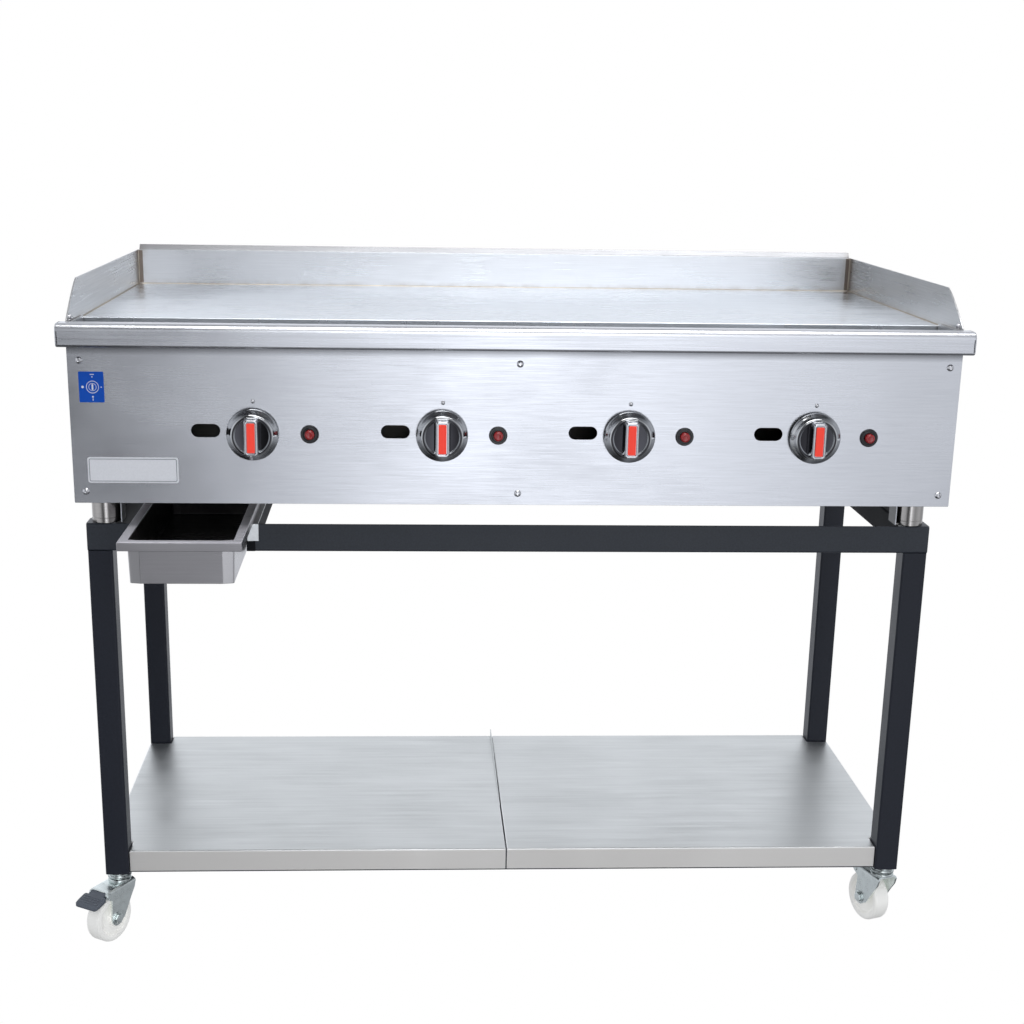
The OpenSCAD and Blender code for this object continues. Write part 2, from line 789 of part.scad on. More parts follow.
// Pressed crown and cheeks, the pedal's rivet, and the axle bolt with its head and nut
module fork(i) {
    crown_z = fork_top - 7;
    braked = i < 2;
    outer = fork_in + fork_t;
    color([0.7, 0.73, 0.76]) at_caster(i) {
        difference() {
            union() {
                translate([0, 0, crown_z + 2]) cylinder(h = 4.5, r = race_r - 1);
                intersection() {
                    box([-15, -outer, crown_z - 1], [26, outer, crown_z + 2.2]);
                    translate([6, 0, crown_z - 2]) cylinder(h = 6, r = 26);
                }
                for (side = [-1, 1]) translate([0, side * fork_in + (side > 0 ? fork_t : 0), 0])
                    rotate([90, 0, 0]) linear_extrude(fork_t) polygon(cheek(braked));
                if (braked) translate([pedal_pivot[0], 0, pedal_pivot[1]]) rotate([90, 0, 0])
                    cylinder(h = 2 * outer + 2, r = rivet_r, center = true);
            }
            translate([0, 0, crown_z - 6]) cylinder(h = 20, r = kingpin_r + play);
            translate([trail, 0, wheel_r]) rotate([90, 0, 0])
                cylinder(h = 60, r = axle_r + play, center = true);
        }
        translate([trail, 0, wheel_r]) rotate([90, 0, 0]) {
            cylinder(h = 2 * outer + 2 * washer, r = axle_r, center = true);
            translate([0, 0, outer + washer]) cylinder(h = 4, r = 8, $fn = 6);
            translate([0, 0, -outer - washer - 5]) cylinder(h = 5, r = 8, $fn = 6);
        }
    }
}

// Nylon wheel with rounded tread edges, dished sides and a hub
module wheel(i) {
    w = wheel_w / 2;
    hub = fork_in - 0.4;
    bore = axle_r + play;
    half = [
        [bore, hub], [10, hub], [11, hub - 4], [wheel_r - 12, hub - 5], [wheel_r - 9, w - 1],
        [wheel_r - 4, w]];
    rim = concat(half, arc([wheel_r - 4, w - 4], 4, 90, 0, 4));
    lower = [for (k = [len(rim) - 1:-1:0]) [rim[k][0], -rim[k][1]]];
    color([0.92, 0.92, 0.9]) at_caster(i) translate([trail, 0, wheel_r]) rotate([90, 0, 0])
        rotate_extrude() polygon(concat(rim, lower));
}

// Foot pedal: a boss between the fork's lugs and a wider plate that slopes down to its tip
module pedal(i) {
    x = pedal_pivot[0];
    z = pedal_pivot[1];
    boss = fork_in - 0.4;
    half = 21;
    arm = concat(arc([x, z], 5.5, 60, 270), [[x + 12, z - 4], [x + 12, z + 1.5]]);
    plate = [[x + 9, z - 4], [x + 33, z - 10], [x + 34, z - 7], [x + 9, z + 2]];
    color([0.3, 0.32, 0.36]) at_caster(i) difference() {
        union() {
            translate([0, boss, 0]) rotate([90, 0, 0]) linear_extrude(2 * boss) polygon(arm);
            translate([0, half, 0]) rotate([90, 0, 0]) linear_extrude(2 * half) polygon(plate);
        }
        translate([x, 0, z]) rotate([90, 0, 0]) cylinder(h = 3 * half, r = rivet_r + play, center = true);
    }
}

cooking_plate();
backsplash();
side_splashes();
front_rail();
grease_gutter();
grease_chute();
front_panel();
side_panels();
rear_panel();
bottom_tray();
plate_bearers();
burner_rests();
burners();
gas_manifold();
gas_inlet_pipe();
gas_valves();
injectors();
electrodes();
ignition_leads();
igniter_bezels();
panel_fixings();
nameplate();
dial_label();
valve_stem(0);  // valve_stem_1
valve_stem(1);  // valve_stem_2
valve_stem(2);  // valve_stem_3
valve_stem(3);  // valve_stem_4
knob(0);  // knob_1
knob(1);  // knob_2
knob(2);  // knob_3
knob(3);  // knob_4
knob_insert(0);  // knob_insert_1
knob_insert(1);  // knob_insert_2
knob_insert(2);  // knob_insert_3
knob_insert(3);  // knob_insert_4
igniter_button(0);  // igniter_button_1
igniter_button(1);  // igniter_button_2
igniter_button(2);  // igniter_button_3
igniter_button(3);  // igniter_button_4
feet();
foot_brackets();
grease_drawer();
drawer_runners();
legs();
top_cross_rails();
top_side_rails();
lower_rails();
shelf_left();
shelf_right();
caster_stems();
fork(0);  // fork_fl
fork(1);  // fork_fr
fork(2);  // fork_rl
fork(3);  // fork_rr
wheel(0);  // wheel_fl
wheel(1);  // wheel_fr
wheel(2);  // wheel_rl
wheel(3);  // wheel_rr
pedal(0);  // pedal_fl
pedal(1);  // pedal_fr
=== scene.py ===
import json
import math
import bpy
import bmesh
from mathutils import Matrix, Vector


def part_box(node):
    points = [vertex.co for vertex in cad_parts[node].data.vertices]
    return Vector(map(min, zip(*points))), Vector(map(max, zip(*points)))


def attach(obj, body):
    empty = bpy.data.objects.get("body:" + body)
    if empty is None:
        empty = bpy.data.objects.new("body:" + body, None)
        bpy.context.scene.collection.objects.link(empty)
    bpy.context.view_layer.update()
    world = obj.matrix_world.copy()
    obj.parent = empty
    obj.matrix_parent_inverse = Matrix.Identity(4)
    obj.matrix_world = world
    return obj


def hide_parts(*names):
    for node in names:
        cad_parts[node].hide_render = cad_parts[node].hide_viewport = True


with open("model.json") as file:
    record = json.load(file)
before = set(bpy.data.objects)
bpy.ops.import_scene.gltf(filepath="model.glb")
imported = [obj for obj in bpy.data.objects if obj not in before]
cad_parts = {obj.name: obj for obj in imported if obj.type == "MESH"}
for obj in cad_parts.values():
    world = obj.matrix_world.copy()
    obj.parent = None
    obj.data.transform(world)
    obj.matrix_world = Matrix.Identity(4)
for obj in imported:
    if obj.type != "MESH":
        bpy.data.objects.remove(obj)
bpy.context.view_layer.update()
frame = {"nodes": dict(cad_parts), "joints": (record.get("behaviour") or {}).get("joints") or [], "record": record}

MM = 0.001
NODES = frame["nodes"]


def span(node):
    """Lowest and highest corner of a CAD node, in millimetres."""
    low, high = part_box(node)
    return [v / MM for v in low], [v / MM for v in high]


# ---------- shape helpers (millimetres) ----------

def grow(bm, rings, ends="both", loop=True):
    """Joins rings of points into a skin. ends closes the first, the last or both rings."""
    rows = [[bm.verts.new(p) for p in ring] for ring in rings]
    n = len(rows[0])
    for a, b in zip(rows, rows[1:]):
        for i in range(n if loop else n - 1):
            j = (i + 1) % n
            bm.faces.new((a[i], a[j], b[j], b[i]))
    if ends in ("both", "first"):
        bm.faces.new(rows[0][::-1])
    if ends in ("both", "last"):
        bm.faces.new(rows[-1])
    return rows


def lathe(bm, centre, axis, points, seg=48):
    """Turns (radius, height) points about an axis; a radius of 0 is a pole."""
    c, a = Vector(centre), Vector(axis).normalized()
    u = a.orthogonal().normalized()
    w = a.cross(u)
    rows = []
    for r, h in points:
        if r < 1e-6:
            rows.append([bm.verts.new(c + a * h)])
        else:
            rows.append([bm.verts.new(c + a * h + (u * math.cos(t) + w * math.sin(t)) * r)
                    for t in (2 * math.pi * k / seg for k in range(seg))])
    for p, q in zip(rows, rows[1:]):
        for i in range(seg):
            j = (i + 1) % seg
            ring = [p[i % len(p)], p[j % len(p)], q[j % len(q)], q[i % len(q)]]
            face = []
            for v in ring:
                if v not in face:
                    face.append(v)
            if len(face) > 2:
                bm.faces.new(face)


def soften(bm, edges, width, seg=2):
    bmesh.ops.bevel(bm, geom=list(edges), offset=width, offset_type="OFFSET", segments=seg,
        profile=0.5, affect="EDGES", clamp_overlap=True)


def slab(bm, low, high, r=0.6, seg=2):
    """A box with rounded edges."""
    made = bmesh.ops.create_cube(bm, size=1)["verts"]
    for v in made:
        v.co = Vector([(low[k] + high[k]) / 2 + v.co[k] * (high[k] - low[k]) for k in range(3)])
    if r > 0:
        soften(bm, {e for v in made for e in v.link_edges}, r, seg)


def prism(bm, outline, h0, h1, place, r=0.5, seg=2):
    """A flat outline carried from h0 to h1, with rounded edges; place(u, v, h) gives the point."""
    rows = grow(bm, [[place(u, v, h0) for u, v in outline], [place(u, v, h1) for u, v in outline]])
    if r > 0:
        rim = set()
        for row in rows:
            for a, b in zip(row, row[1:] + row[:1]):
                rim.add(bm.edges.get((a, b)))
        soften(bm, rim, r, seg)


def arc(c, r, a0, a1, n=6):
    return [(c[0] + r * math.cos(math.radians(a0 + (a1 - a0) * i / n)),
            c[1] + r * math.sin(math.radians(a0 + (a1 - a0) * i / n))) for i in range(n + 1)]


def round_rect(w, d, r, n=5, c=(0, 0)):
    x, y = w / 2 - r, d / 2 - r
    points = []
    for sx, sy, a in ((1, 1, 0), (-1, 1, 90), (-1, -1, 180), (1, -1, 270)):
        points += arc((c[0] + sx * x, c[1] + sy * y), r, a, a + 90, n)
    return points


def fillet(path, radii, n=6):
    """Rounds the inner corners of an open path."""
    out = [Vector(path[0])]
    for k in range(1, len(path) - 1):
        a, b, c = Vector(path[k - 1]), Vector(path[k]), Vector(path[k + 1])
        r = radii[k - 1]
        u, w = (a - b).normalized(), (c - b).normalized()
        half = u.angle(w) / 2
        cut = r / math.tan(half)
        centre = b + (u + w).normalized() * (r / math.sin(half))
        p, q = b + u * cut - centre, b + w * cut - centre
        turn = p.angle_signed(q)
        for i in range(n + 1):
            t = -turn * i / n
            out.append(centre + Vector((p.x * math.cos(t) - p.y * math.sin(t),
                    p.x * math.sin(t) + p.y * math.cos(t))))
    out.append(Vector(path[-1]))
    return out


def sheet(bm, path, t, h0, h1, place, radii=(), n=6, r=0.3):
    """A folded sheet: the path is its centreline, t its thickness."""
    line = fillet(path, radii, n) if radii else [Vector(p) for p in path]
    left, right = [], []
    for k, p in enumerate(line):
        a = line[max(k - 1, 0)]
        b = line[min(k + 1, len(line) - 1)]
        d1 = (p - a).normalized() if k else (b - p).normalized()
        d2 = (b - p).normalized() if k < len(line) - 1 else d1
        d = (d1 + d2).normalized()
        side = Vector((-d.y, d.x)) * (t / 2) / max(0.3, d.dot(d1))
        left.append(p + side)
        right.append(p - side)
    outer = left + right[::-1]
    m = len(left)
    rows = [[bm.verts.new(place(p.x, p.y, h)) for p in outer] for h in (h0, h1)]
    for i in range(len(outer)):
        j = (i + 1) % len(outer)
        bm.faces.new((rows[0][i], rows[0][j], rows[1][j], rows[1][i]))
    for row in rows:
        for i in range(m - 1):
            bm.faces.new((row[i], row[i + 1], row[-2 - i], row[-1 - i]))
    if r > 0:
        edges = [bm.edges.get((rows[0][i], rows[1][i])) for i in (0, m - 1, m, len(outer) - 1)]
        for row in rows:
            edges += [bm.edges.get((row[i], row[(i + 1) % len(outer)])) for i in range(len(outer))]
        soften(bm, edges, r, 2)


def bead(bm, a, b, r, pitch=2.4, wave=0.25, seg=8, normal=(0, 0, 1)):
    """A weld bead: a half-sunk rod with ripples."""
    a, b = Vector(a), Vector(b)
    d = (b - a).normalized()
    u = Vector(normal).normalized()
    w = d.cross(u)
    steps = max(4, int((b - a).length / pitch * 2))
    rings = []
    for k in range(steps + 1):
        p = a + (b - a) * k / steps
        q = r * (1 - wave * (k % 2)) * (0.35 if k in (0, steps) else 1)
        rings.append([p + (u * math.cos(t) * 0.8 + w * math.sin(t)) * q
                for t in (2 * math.pi * i / seg for i in range(seg))])
    grow(bm, rings)


def at_x(u, v, h):
    """Outline in (y, z), carried along X."""
    return Vector((h, u, v))


def at_y(u, v, h):
    """Outline in (x, z), carried along Y."""
    return Vector((u, h, v))


def merge(bm, one):
    """Moves the shape one into bm."""
    me = bpy.data.meshes.new("tmp")
    one.to_mesh(me)
    one.free()
    bm.from_mesh(me)
    bpy.data.meshes.remove(me)


def add(name, data):
    """Puts a new object into the scene."""
    ob = bpy.data.objects.new(name, data)
    bpy.context.scene.collection.objects.link(ob)
    return ob


def finish_part(bm, name, body, mat, nodes=(), angle=32):
    """Turns the shape into an object in metres that rides on a body."""
    bmesh.ops.recalc_face_normals(bm, faces=bm.faces)
    me = bpy.data.meshes.new(name)
    bmesh.ops.scale(bm, vec=(MM, MM, MM), verts=bm.verts)
    bm.to_mesh(me)
    bm.free()
    me.shade_smooth()
    me.set_sharp_from_angle(angle=math.radians(angle))
    return enlist(me, name, body, mat, nodes)


def enlist(me, name, body, mat, nodes=()):
    ob = add(name, me)
    me.materials.clear()
    me.materials.append(mat)
    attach(ob, body)
    if nodes:
        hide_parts(*nodes)
    flat = ob.modifiers.new("normals", "WEIGHTED_NORMAL")
    flat.weight = 100
    flat.keep_sharp = True
    return ob


def pierced(name, loops, t, bevel, place):
    """A flat sheet with holes: loops are closed outlines, the first one the rim."""
    cu = bpy.data.curves.new(name + "_c", "CURVE")
    cu.dimensions = "2D"
    cu.fill_mode = "BOTH"
    cu.extrude = t / 2 - bevel
    cu.bevel_depth = bevel
    cu.bevel_resolution = 1
    cu.offset = -bevel
    for loop in loops:
        sp = cu.splines.new("POLY")
        sp.points.add(len(loop) - 1)
        for p, (u, v) in zip(sp.points, loop):
            p.co = (u, v, 0, 1)
        sp.use_cyclic_u = True
    ob = add(name + "_c", cu)
    me = bpy.data.meshes.new_from_object(ob.evaluated_get(bpy.context.evaluated_depsgraph_get()))
    bpy.data.objects.remove(ob)
    bm = bmesh.new()
    bm.from_mesh(me)
    bpy.data.meshes.remove(me)
    bmesh.ops.remove_doubles(bm, verts=bm.verts, dist=0.001)
    for v in bm.verts:
        v.co = place(v.co.x, v.co.y, v.co.z)
    return bm


def circle(c, r, n=28):
    return [(c[0] + r * math.cos(2 * math.pi * k / n),
            c[1] + r * math.sin(2 * math.pi * k / n)) for k in range(n)]


# ---------- materials ----------

class Tree:
    """Small helper to write node trees."""

    def __init__(self, name):
        self.mat = bpy.data.materials.new(name)
        self.mat.use_nodes = True
        self.t = self.mat.node_tree
        self.bsdf = self.t.nodes["Principled BSDF"]
        self.coord = self.t.nodes.new("ShaderNodeTexCoord").outputs["Object"]

    def node(self, kind, inputs=None, **props):
        n = self.t.nodes.new(kind)
        for k, v in props.items():
            setattr(n, k, v)
        for k, v in (inputs or {}).items():
            self.feed(n.inputs[k], v)
        return n

    def feed(self, socket, value):
        if isinstance(value, bpy.types.NodeSocket):
            self.t.links.new(value, socket)
        elif isinstance(value, (tuple, list)) and len(value) == 3 and socket.type == "RGBA":
            socket.default_value = (*value, 1)
        else:
            socket.default_value = value

    def noise(self, scale, stretch=(1, 1, 1), detail=4, rough=0.55):
        m = self.node("ShaderNodeMapping", {"Vector": self.coord, "Scale": stretch})
        return self.node("ShaderNodeTexNoise", {"Vector": m.outputs[0], "Scale": scale, "Detail": detail,
                "Roughness": rough}).outputs["Fac"]

    def ramp(self, fac, lo, hi, a, b):
        """Carries fac from lo..hi to a..b."""
        return self.node("ShaderNodeMapRange", {"Value": fac, "From Min": lo, "From Max": hi, "To Min": a,
                "To Max": b},
            clamp=True).outputs[0]

    def mix(self, fac, a, b, blend="MIX"):
        n = self.node("ShaderNodeMix", data_type="RGBA", blend_type=blend)
        for socket, v in zip((n.inputs[0], n.inputs[6], n.inputs[7]), (fac, a, b)):
            self.feed(socket, v)
        return n.outputs[2]

    def math(self, op, a, b=0.0):
        n = self.node("ShaderNodeMath", operation=op)
        self.feed(n.inputs[0], a)
        self.feed(n.inputs[1], b)
        return n.outputs[0]

    def axis(self, k):
        return self.node("ShaderNodeSeparateXYZ", {"Vector": self.coord}).outputs[k]

    def facing(self, k):
        """How squarely the surface faces along axis k, either way."""
        normal = self.node("ShaderNodeNewGeometry").outputs["Normal"]
        return self.math("ABSOLUTE", self.node("ShaderNodeSeparateXYZ", {"Vector": normal}).outputs[k])

    def bump(self, height, strength, distance=0.0004):
        b = self.node("ShaderNodeBump", {"Height": height, "Strength": strength, "Distance": distance})
        self.feed(self.bsdf.inputs["Normal"], b.outputs[0])

    def set(self, **values):
        for k, v in values.items():
            self.feed(self.bsdf.inputs[k.replace("_", " ")], v)
        return self


def chrome_painted_reflection(name, bright, dark, rough):
    """Chrome with painted reflection: flat faces across Y are near black, the sloped rims brighter."""
    t = Tree(name)
    n = t.noise(40, (1, 1, 1), 3, 0.5)
    facing = t.facing(1)
    base = t.mix(t.ramp(facing, 0.90, 0.985, 0, 1), bright, dark)
    t.set(Base_Color=base, Metallic=1.0, Roughness=t.ramp(n, 0.2, 0.8, rough - 0.02, rough + 0.04))
    t.bump(n, 0.02)
    return t.mat


def near(t, k, value, width, mirror=False):
    """1 close to a plane across axis k, falling to 0 at width."""
    c = t.axis(k)
    if mirror:
        c = t.math("ABSOLUTE", c)
    d = t.math("ABSOLUTE", t.math("SUBTRACT", c, value))
    return t.ramp(d, 0.0, width, 1.0, 0.0)


def steel(name, color, rough=(0.24, 0.4), grain=(3, 260, 260), scale=3.0, strength=0.25, smudge=0.08, tint=None,
        painted_light=None):
    """Brushed steel: fine scratches, cloudy smudges, and heat tint, or painted light and shade of its own if
    asked.
    """
    t = Tree(name)
    lines = t.noise(scale, grain, 6, 0.7)
    fine = t.noise(scale * 3.1, grain, 3, 0.6)
    cloud = t.noise(6.5, (1, 1, 1.4), 3, 0.5)
    base = t.mix(t.ramp(cloud, 0.3, 0.7, 0, 1),
        tuple(c * (1 - smudge) for c in color), tuple(min(1, c * (1 + smudge)) for c in color))
    base = t.mix(t.ramp(lines, 0.35, 0.65, 0, 0.5), base, tuple(c * 0.86 for c in color))
    rough_v = t.math("ADD", t.ramp(lines, 0.3, 0.7, rough[0], rough[1]), t.ramp(cloud, 0.25, 0.75, -0.05, 0.07))
    if tint:
        heat = tint(t)
        ragged = t.math("MULTIPLY", heat, t.ramp(t.noise(38, (1, 1, 1), 4, 0.6), 0.3, 0.62, 0.25, 1.0))
        straw = t.mix(t.ramp(ragged, 0.15, 0.8, 0, 1), (0.46, 0.40, 0.31), (0.19, 0.14, 0.11))
        base = t.mix(t.ramp(ragged, 0.1, 0.8, 0, 0.62), base, straw)
    # the callback, when given, paints light and shade into the base colour and sets the metal value
    base, metal = painted_light(t, base) if painted_light else (base, 1.0)
    t.set(Base_Color=base, Metallic=metal, Roughness=rough_v)
    t.bump(t.math("ADD", lines, t.math("MULTIPLY", fine, 0.5)), strength)
    return t.mat


def plain(name, color, rough=0.4, metallic=0.0, speck=0.06, scale=60.0, strength=0.1, coat=0.0, wear=0.0,
        spec=0.5, glow=0.0):
    """Paint, plastic, plating: a fine mottle in colour and roughness and a slight skin texture."""
    t = Tree(name)
    n = t.noise(scale, (1, 1, 1), 4, 0.6)
    big = t.noise(9.0, (1, 1, 1), 3, 0.5)
    base = t.mix(t.ramp(n, 0.3, 0.7, 0, 1),
        tuple(c * (1 - speck) for c in color), tuple(min(1, c * (1 + speck)) for c in color))
    base = t.mix(t.ramp(big, 0.35, 0.7, 0, wear), base, tuple(min(1, c * 1.5 + 0.03) for c in color))
    t.set(Base_Color=base, Metallic=metallic, Roughness=t.math("ADD",
            t.ramp(n, 0.2, 0.8, rough - 0.05, rough + 0.06), t.ramp(big, 0.3, 0.7, -0.03, 0.05)))
    t.bsdf.inputs["Coat Weight"].default_value = coat
    t.bsdf.inputs["Coat Roughness"].default_value = 0.12
    t.bsdf.inputs["Specular IOR Level"].default_value = spec
    # glow paints light: the surface emits its own colour though it is no lamp
    t.bsdf.inputs["Emission Color"].default_value = (*color, 1)
    t.bsdf.inputs["Emission Strength"].default_value = glow
    t.bump(n, strength)
    return t.mat


# far corner of the plate and of the splashes, in metres, for the material masks
plate_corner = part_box("cooking_plate")[1]
splash_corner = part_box("side_splashes")[1]
side_x = splash_corner.x
top_z = plate_corner.z
back_y = plate_corner.y


def corner_heat(t):
    """Heat tint along the plate's joint with the splashes and up the two rear corners."""
    floor_line = near(t, 2, top_z, 0.012)
    corner = t.math("MULTIPLY", near(t, 0, side_x, 0.022, True), near(t, 1, back_y, 0.022))
    return t.math("MAXIMUM", t.math("MULTIPLY", floor_line, 0.55), corner)


def plate_heat(t):
    edge = t.math("MAXIMUM", near(t, 1, back_y, 0.012), near(t, 0, side_x, 0.012, True))
    corner = t.math("MULTIPLY", near(t, 0, side_x, 0.06, True), near(t, 1, back_y, 0.06))
    return t.math("MAXIMUM", t.math("MULTIPLY", edge, 0.5), corner)


def drawer_painted_light(t, base):
    """Painted light: mottled painted shade inside the pan, a pale painted highlight on the rim's top, and lighter
    painted reflection bands on the side facets; less metallic on the rim and inside.
    """
    low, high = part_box("grease_drawer")
    off_x, off_y = (t.math("ABSOLUTE", t.math("SUBTRACT", t.axis(k), (low[k] + high[k]) / 2)) for k in (0, 1))
    half_x, half_y = (high.x - low.x) / 2, (high.y - low.y) / 2
    # lighter bands on the side facets below the rim: painted reflection
    below_rim = t.ramp(t.axis(2), high.z - 0.013, high.z - 0.0125, 1, 0)
    base = t.mix(t.math("MULTIPLY", below_rim, t.ramp(off_x, 0.0542, 0.0556, 0, 0.8)), base,
        (0.58, 0.57, 0.575))
    off_y = t.math("ADD", off_y, t.ramp(off_x, 0.0545, 0.0705, 0, 0.003))
    off_x = t.math("ADD", off_x, t.ramp(t.axis(2), low.z, high.z, 0.0018, 0))
    inside = t.math("MULTIPLY", t.ramp(off_x, half_x - 0.0127, half_x - 0.0121, 1, 0),
        t.ramp(off_y, half_y - 0.0142, half_y - 0.0136, 1, 0))
    inside = t.math("MULTIPLY", inside, t.math("MULTIPLY",
            t.ramp(t.axis(2), low.z + 0.0010, low.z + 0.0012, 0, 1),
            t.ramp(t.axis(2), high.z - 0.0015, high.z - 0.0008, 1, 0)))
    # pale rim top: painted highlight
    rim = t.ramp(t.axis(2), high.z - 0.0012, high.z - 0.0004, 0, 1)
    # dark mottle inside the pan: painted shade
    inside_shade = t.mix(t.ramp(t.noise(30, (1, 4, 1), 4, 0.6), 0.4, 0.75, 0, 1), (0.016, 0.015, 0.015),
        (0.055, 0.05, 0.05))
    base = t.mix(inside, t.mix(rim, base, (0.60, 0.59, 0.63)), inside_shade)
    return base, t.ramp(t.math("MAXIMUM", rim, inside), 0, 1, 1.0, 0.35)


def panel_painted_shade(t, base):
    """Painted shade in the joint beneath the rail."""
    under_rail_shade = near(t, 2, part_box("front_rail")[0].z - 0.001, 0.011)
    return t.mix(t.ramp(under_rail_shade, 0, 1, 0, 0.8), base, (0.05, 0.05, 0.055)), 1.0


def splash_painted_shade(t, base):
    """Painted shade: darker towards the left, and dark on the folded top."""
    base = t.mix(t.ramp(t.axis(0), -side_x, side_x, 0.30, 0.0), base, (0.25, 0.25, 0.26))
    return t.mix(t.ramp(t.axis(2), splash_corner.z + 0.0002, splash_corner.z + 0.0012, 0, 0.72), base,
        (0.05, 0.05, 0.055)), 1.0


def runner_painted_shade(t, base):
    """Painted shade on the left strip."""
    low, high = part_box("drawer_runners")
    middle = (low.x + high.x) / 2
    return t.mix(t.ramp(t.axis(0), middle - 0.001, middle + 0.001, 0.93, 0), base, (0.03, 0.03, 0.034)), 1.0


def shelf_painted_light(t, base):
    """Painted light: the upright faces lighter, warmer and less metallic, and a painted highlight along the top
    fold.
    """
    upright = t.facing(1)
    fold_highlight = near(t, 2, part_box("shelf_right")[1].z - 0.0009, 0.0011)
    base = t.mix(t.ramp(upright, 0.7, 0.95, 0, 1), base, (0.80, 0.775, 0.735))
    return t.mix(fold_highlight, base, (0.9, 0.9, 0.9)), t.ramp(upright, 0.7, 0.95, 1.0, 0.45)


def bracket_painted_shade(t, base):
    """Painted shade on its inner faces, those across X, which are also less metallic."""
    across = t.facing(0)
    base = t.mix(t.ramp(across, 0.7, 0.95, 0, 0.97), base, (0.02, 0.02, 0.022))
    return base, t.ramp(across, 0.7, 0.95, 1.0, 0.3)


RECIPES = {
    "plate": (steel, (0.80, 0.84, 0.88), (0.2, 0.34), (2, 90, 1), 3.0, 0.10, 0.05, plate_heat),
    "splash": (steel, (0.76, 0.77, 0.79), (0.24, 0.36), (4, 1, 200), 3.0, 0.10, 0.06, corner_heat,
        splash_painted_shade),
    "side": (steel, (0.60, 0.60, 0.60), (0.24, 0.36), (1, 2, 200), 3.0, 0.14, 0.07, corner_heat),
    "rail": (steel, (0.66, 0.67, 0.70), (0.2, 0.32), (2, 160, 160), 3.0, 0.12, 0.05),
    "gutter": (steel, (0.60, 0.60, 0.61), (0.25, 0.4), (2, 120, 120), 3.0, 0.15, 0.08),
    "panel": (steel, (0.64, 0.65, 0.68), (0.20, 0.27), (5, 1, 240), 3.0, 0.08, 0.05, None, panel_painted_shade),
    "flank": (steel, (0.62, 0.63, 0.66), (0.30, 0.42), (1, 2, 240), 3.0, 0.16, 0.07),
    "bracket": (steel, (0.62, 0.63, 0.66), (0.30, 0.42), (1, 2, 240), 3.0, 0.1, 0.07, None, bracket_painted_shade),
    # inner: darker steel, painted shade for the shadowed underside and inside of the body
    "inner": (steel, (0.34, 0.33, 0.32), (0.35, 0.5), (2, 60, 60), 3.0, 0.1, 0.2),
    "bearer": (plain, (0.05, 0.05, 0.055), 0.5),
    "brass": (plain, (0.72, 0.52, 0.22), 0.28, 1.0, 0.08, 80, 0.1),
    "rubber": (plain, (0.02, 0.02, 0.022), 0.55),
    "black": (plain, (0.008, 0.008, 0.010), 0.2, 0.0, 0.1, 300, 0.05, 0.2, 0.0, 0.35),
    "screw": (steel, (0.72, 0.72, 0.74), (0.18, 0.3), (60, 60, 60), 4.0, 0.08, 0.06),
    "label_plate": (plain, (0.84, 0.85, 0.88), 0.42, 0.2, 0.03, 400, 0.04),
    "blue": (plain, (0.003, 0.085, 0.52), 0.42, 0.0, 0.06, 200, 0.05, 0.0, 0.0, 0.2),
    "white_ink": (plain, (0.82, 0.84, 0.88), 0.4, 0.0, 0.02, 200, 0.03),
    "grey_ink": (plain, (0.20, 0.21, 0.24), 0.45, 0.0, 0.04, 200, 0.03),
    # chrome: painted reflection, near black on flat faces and bright on the sloped rims
    "chrome": (chrome_painted_reflection, (0.58, 0.59, 0.60), (0.04, 0.04, 0.045), 0.1),
    "grip": (plain, (0.50, 0.51, 0.53), 0.14, 1.0, 0.03, 60, 0.03),
    # red: glow 0.2, painted light, the insert emits its own colour
    "red": (plain, (1.0, 0.07, 0.045), 0.45, 0.0, 0.05, 200, 0.04, 0.0, 0.0, 0.25, 0.2),
    "button": (plain, (0.33, 0.008, 0.010), 0.25, 0.0, 0.05, 200, 0.03, 0.5),
    "foot": (steel, (0.50, 0.48, 0.46), (0.16, 0.26), (30, 30, 300), 3.0, 0.06, 0.05),
    # drawer: steel darker than the rest, painted shade standing in for the dark reflection on its front
    "drawer": (steel, (0.37, 0.36, 0.37), (0.26, 0.36), (2, 90, 160), 3.0, 0.1, 0.06, None, drawer_painted_light),
    "runner": (steel, (0.76, 0.78, 0.78), (0.3, 0.42), (90, 2, 90), 3.0, 0.08, 0.05, None, runner_painted_shade),
    "paint": (plain, (0.034, 0.040, 0.051), 0.38, 0.0, 0.14, 420, 0.22, 0.0, 0.03, 0.35),
    # side rails: a darker copy of the stand paint, painted shade
    "side_paint": (plain, (0.012, 0.013, 0.016), 0.62, 0.0, 0.14, 420, 0.22, 0.0, 0.03, 0.08),
    # legs: a darker copy of the stand paint, painted shade
    "leg_paint": (plain, (0.015, 0.018, 0.028), 0.38, 0.0, 0.14, 420, 0.22, 0.0, 0.03, 0.3),
    "shelf": (steel, (0.75, 0.77, 0.76), (0.34, 0.46), (2, 70, 1), 3.0, 0.05, 0.03, None, shelf_painted_light),
    "zinc": (plain, (0.76, 0.82, 0.81), 0.26, 1.0, 0.10, 90, 0.08, 0.0, 0.1),
    # nylon: glow 0.22, painted light, the wheels emit their own colour
    "nylon": (plain, (0.93, 0.92, 0.88), 0.42, 0.0, 0.03, 90, 0.08, 0.0, 0.0, 0.5, 0.22),
    "pedal": (plain, (0.095, 0.11, 0.135), 0.42, 0.0, 0.1, 300, 0.15),
    "bead": (steel, (0.42, 0.37, 0.31), (0.25, 0.45), (90, 90, 90), 3.0, 0.2, 0.3),
    "scorch": (steel, (0.20, 0.165, 0.14), (0.3, 0.5), (90, 90, 30), 3.0, 0.2, 0.3),
}
M = {key: make("m_" + key, *args) for key, (make, *args) in RECIPES.items()}

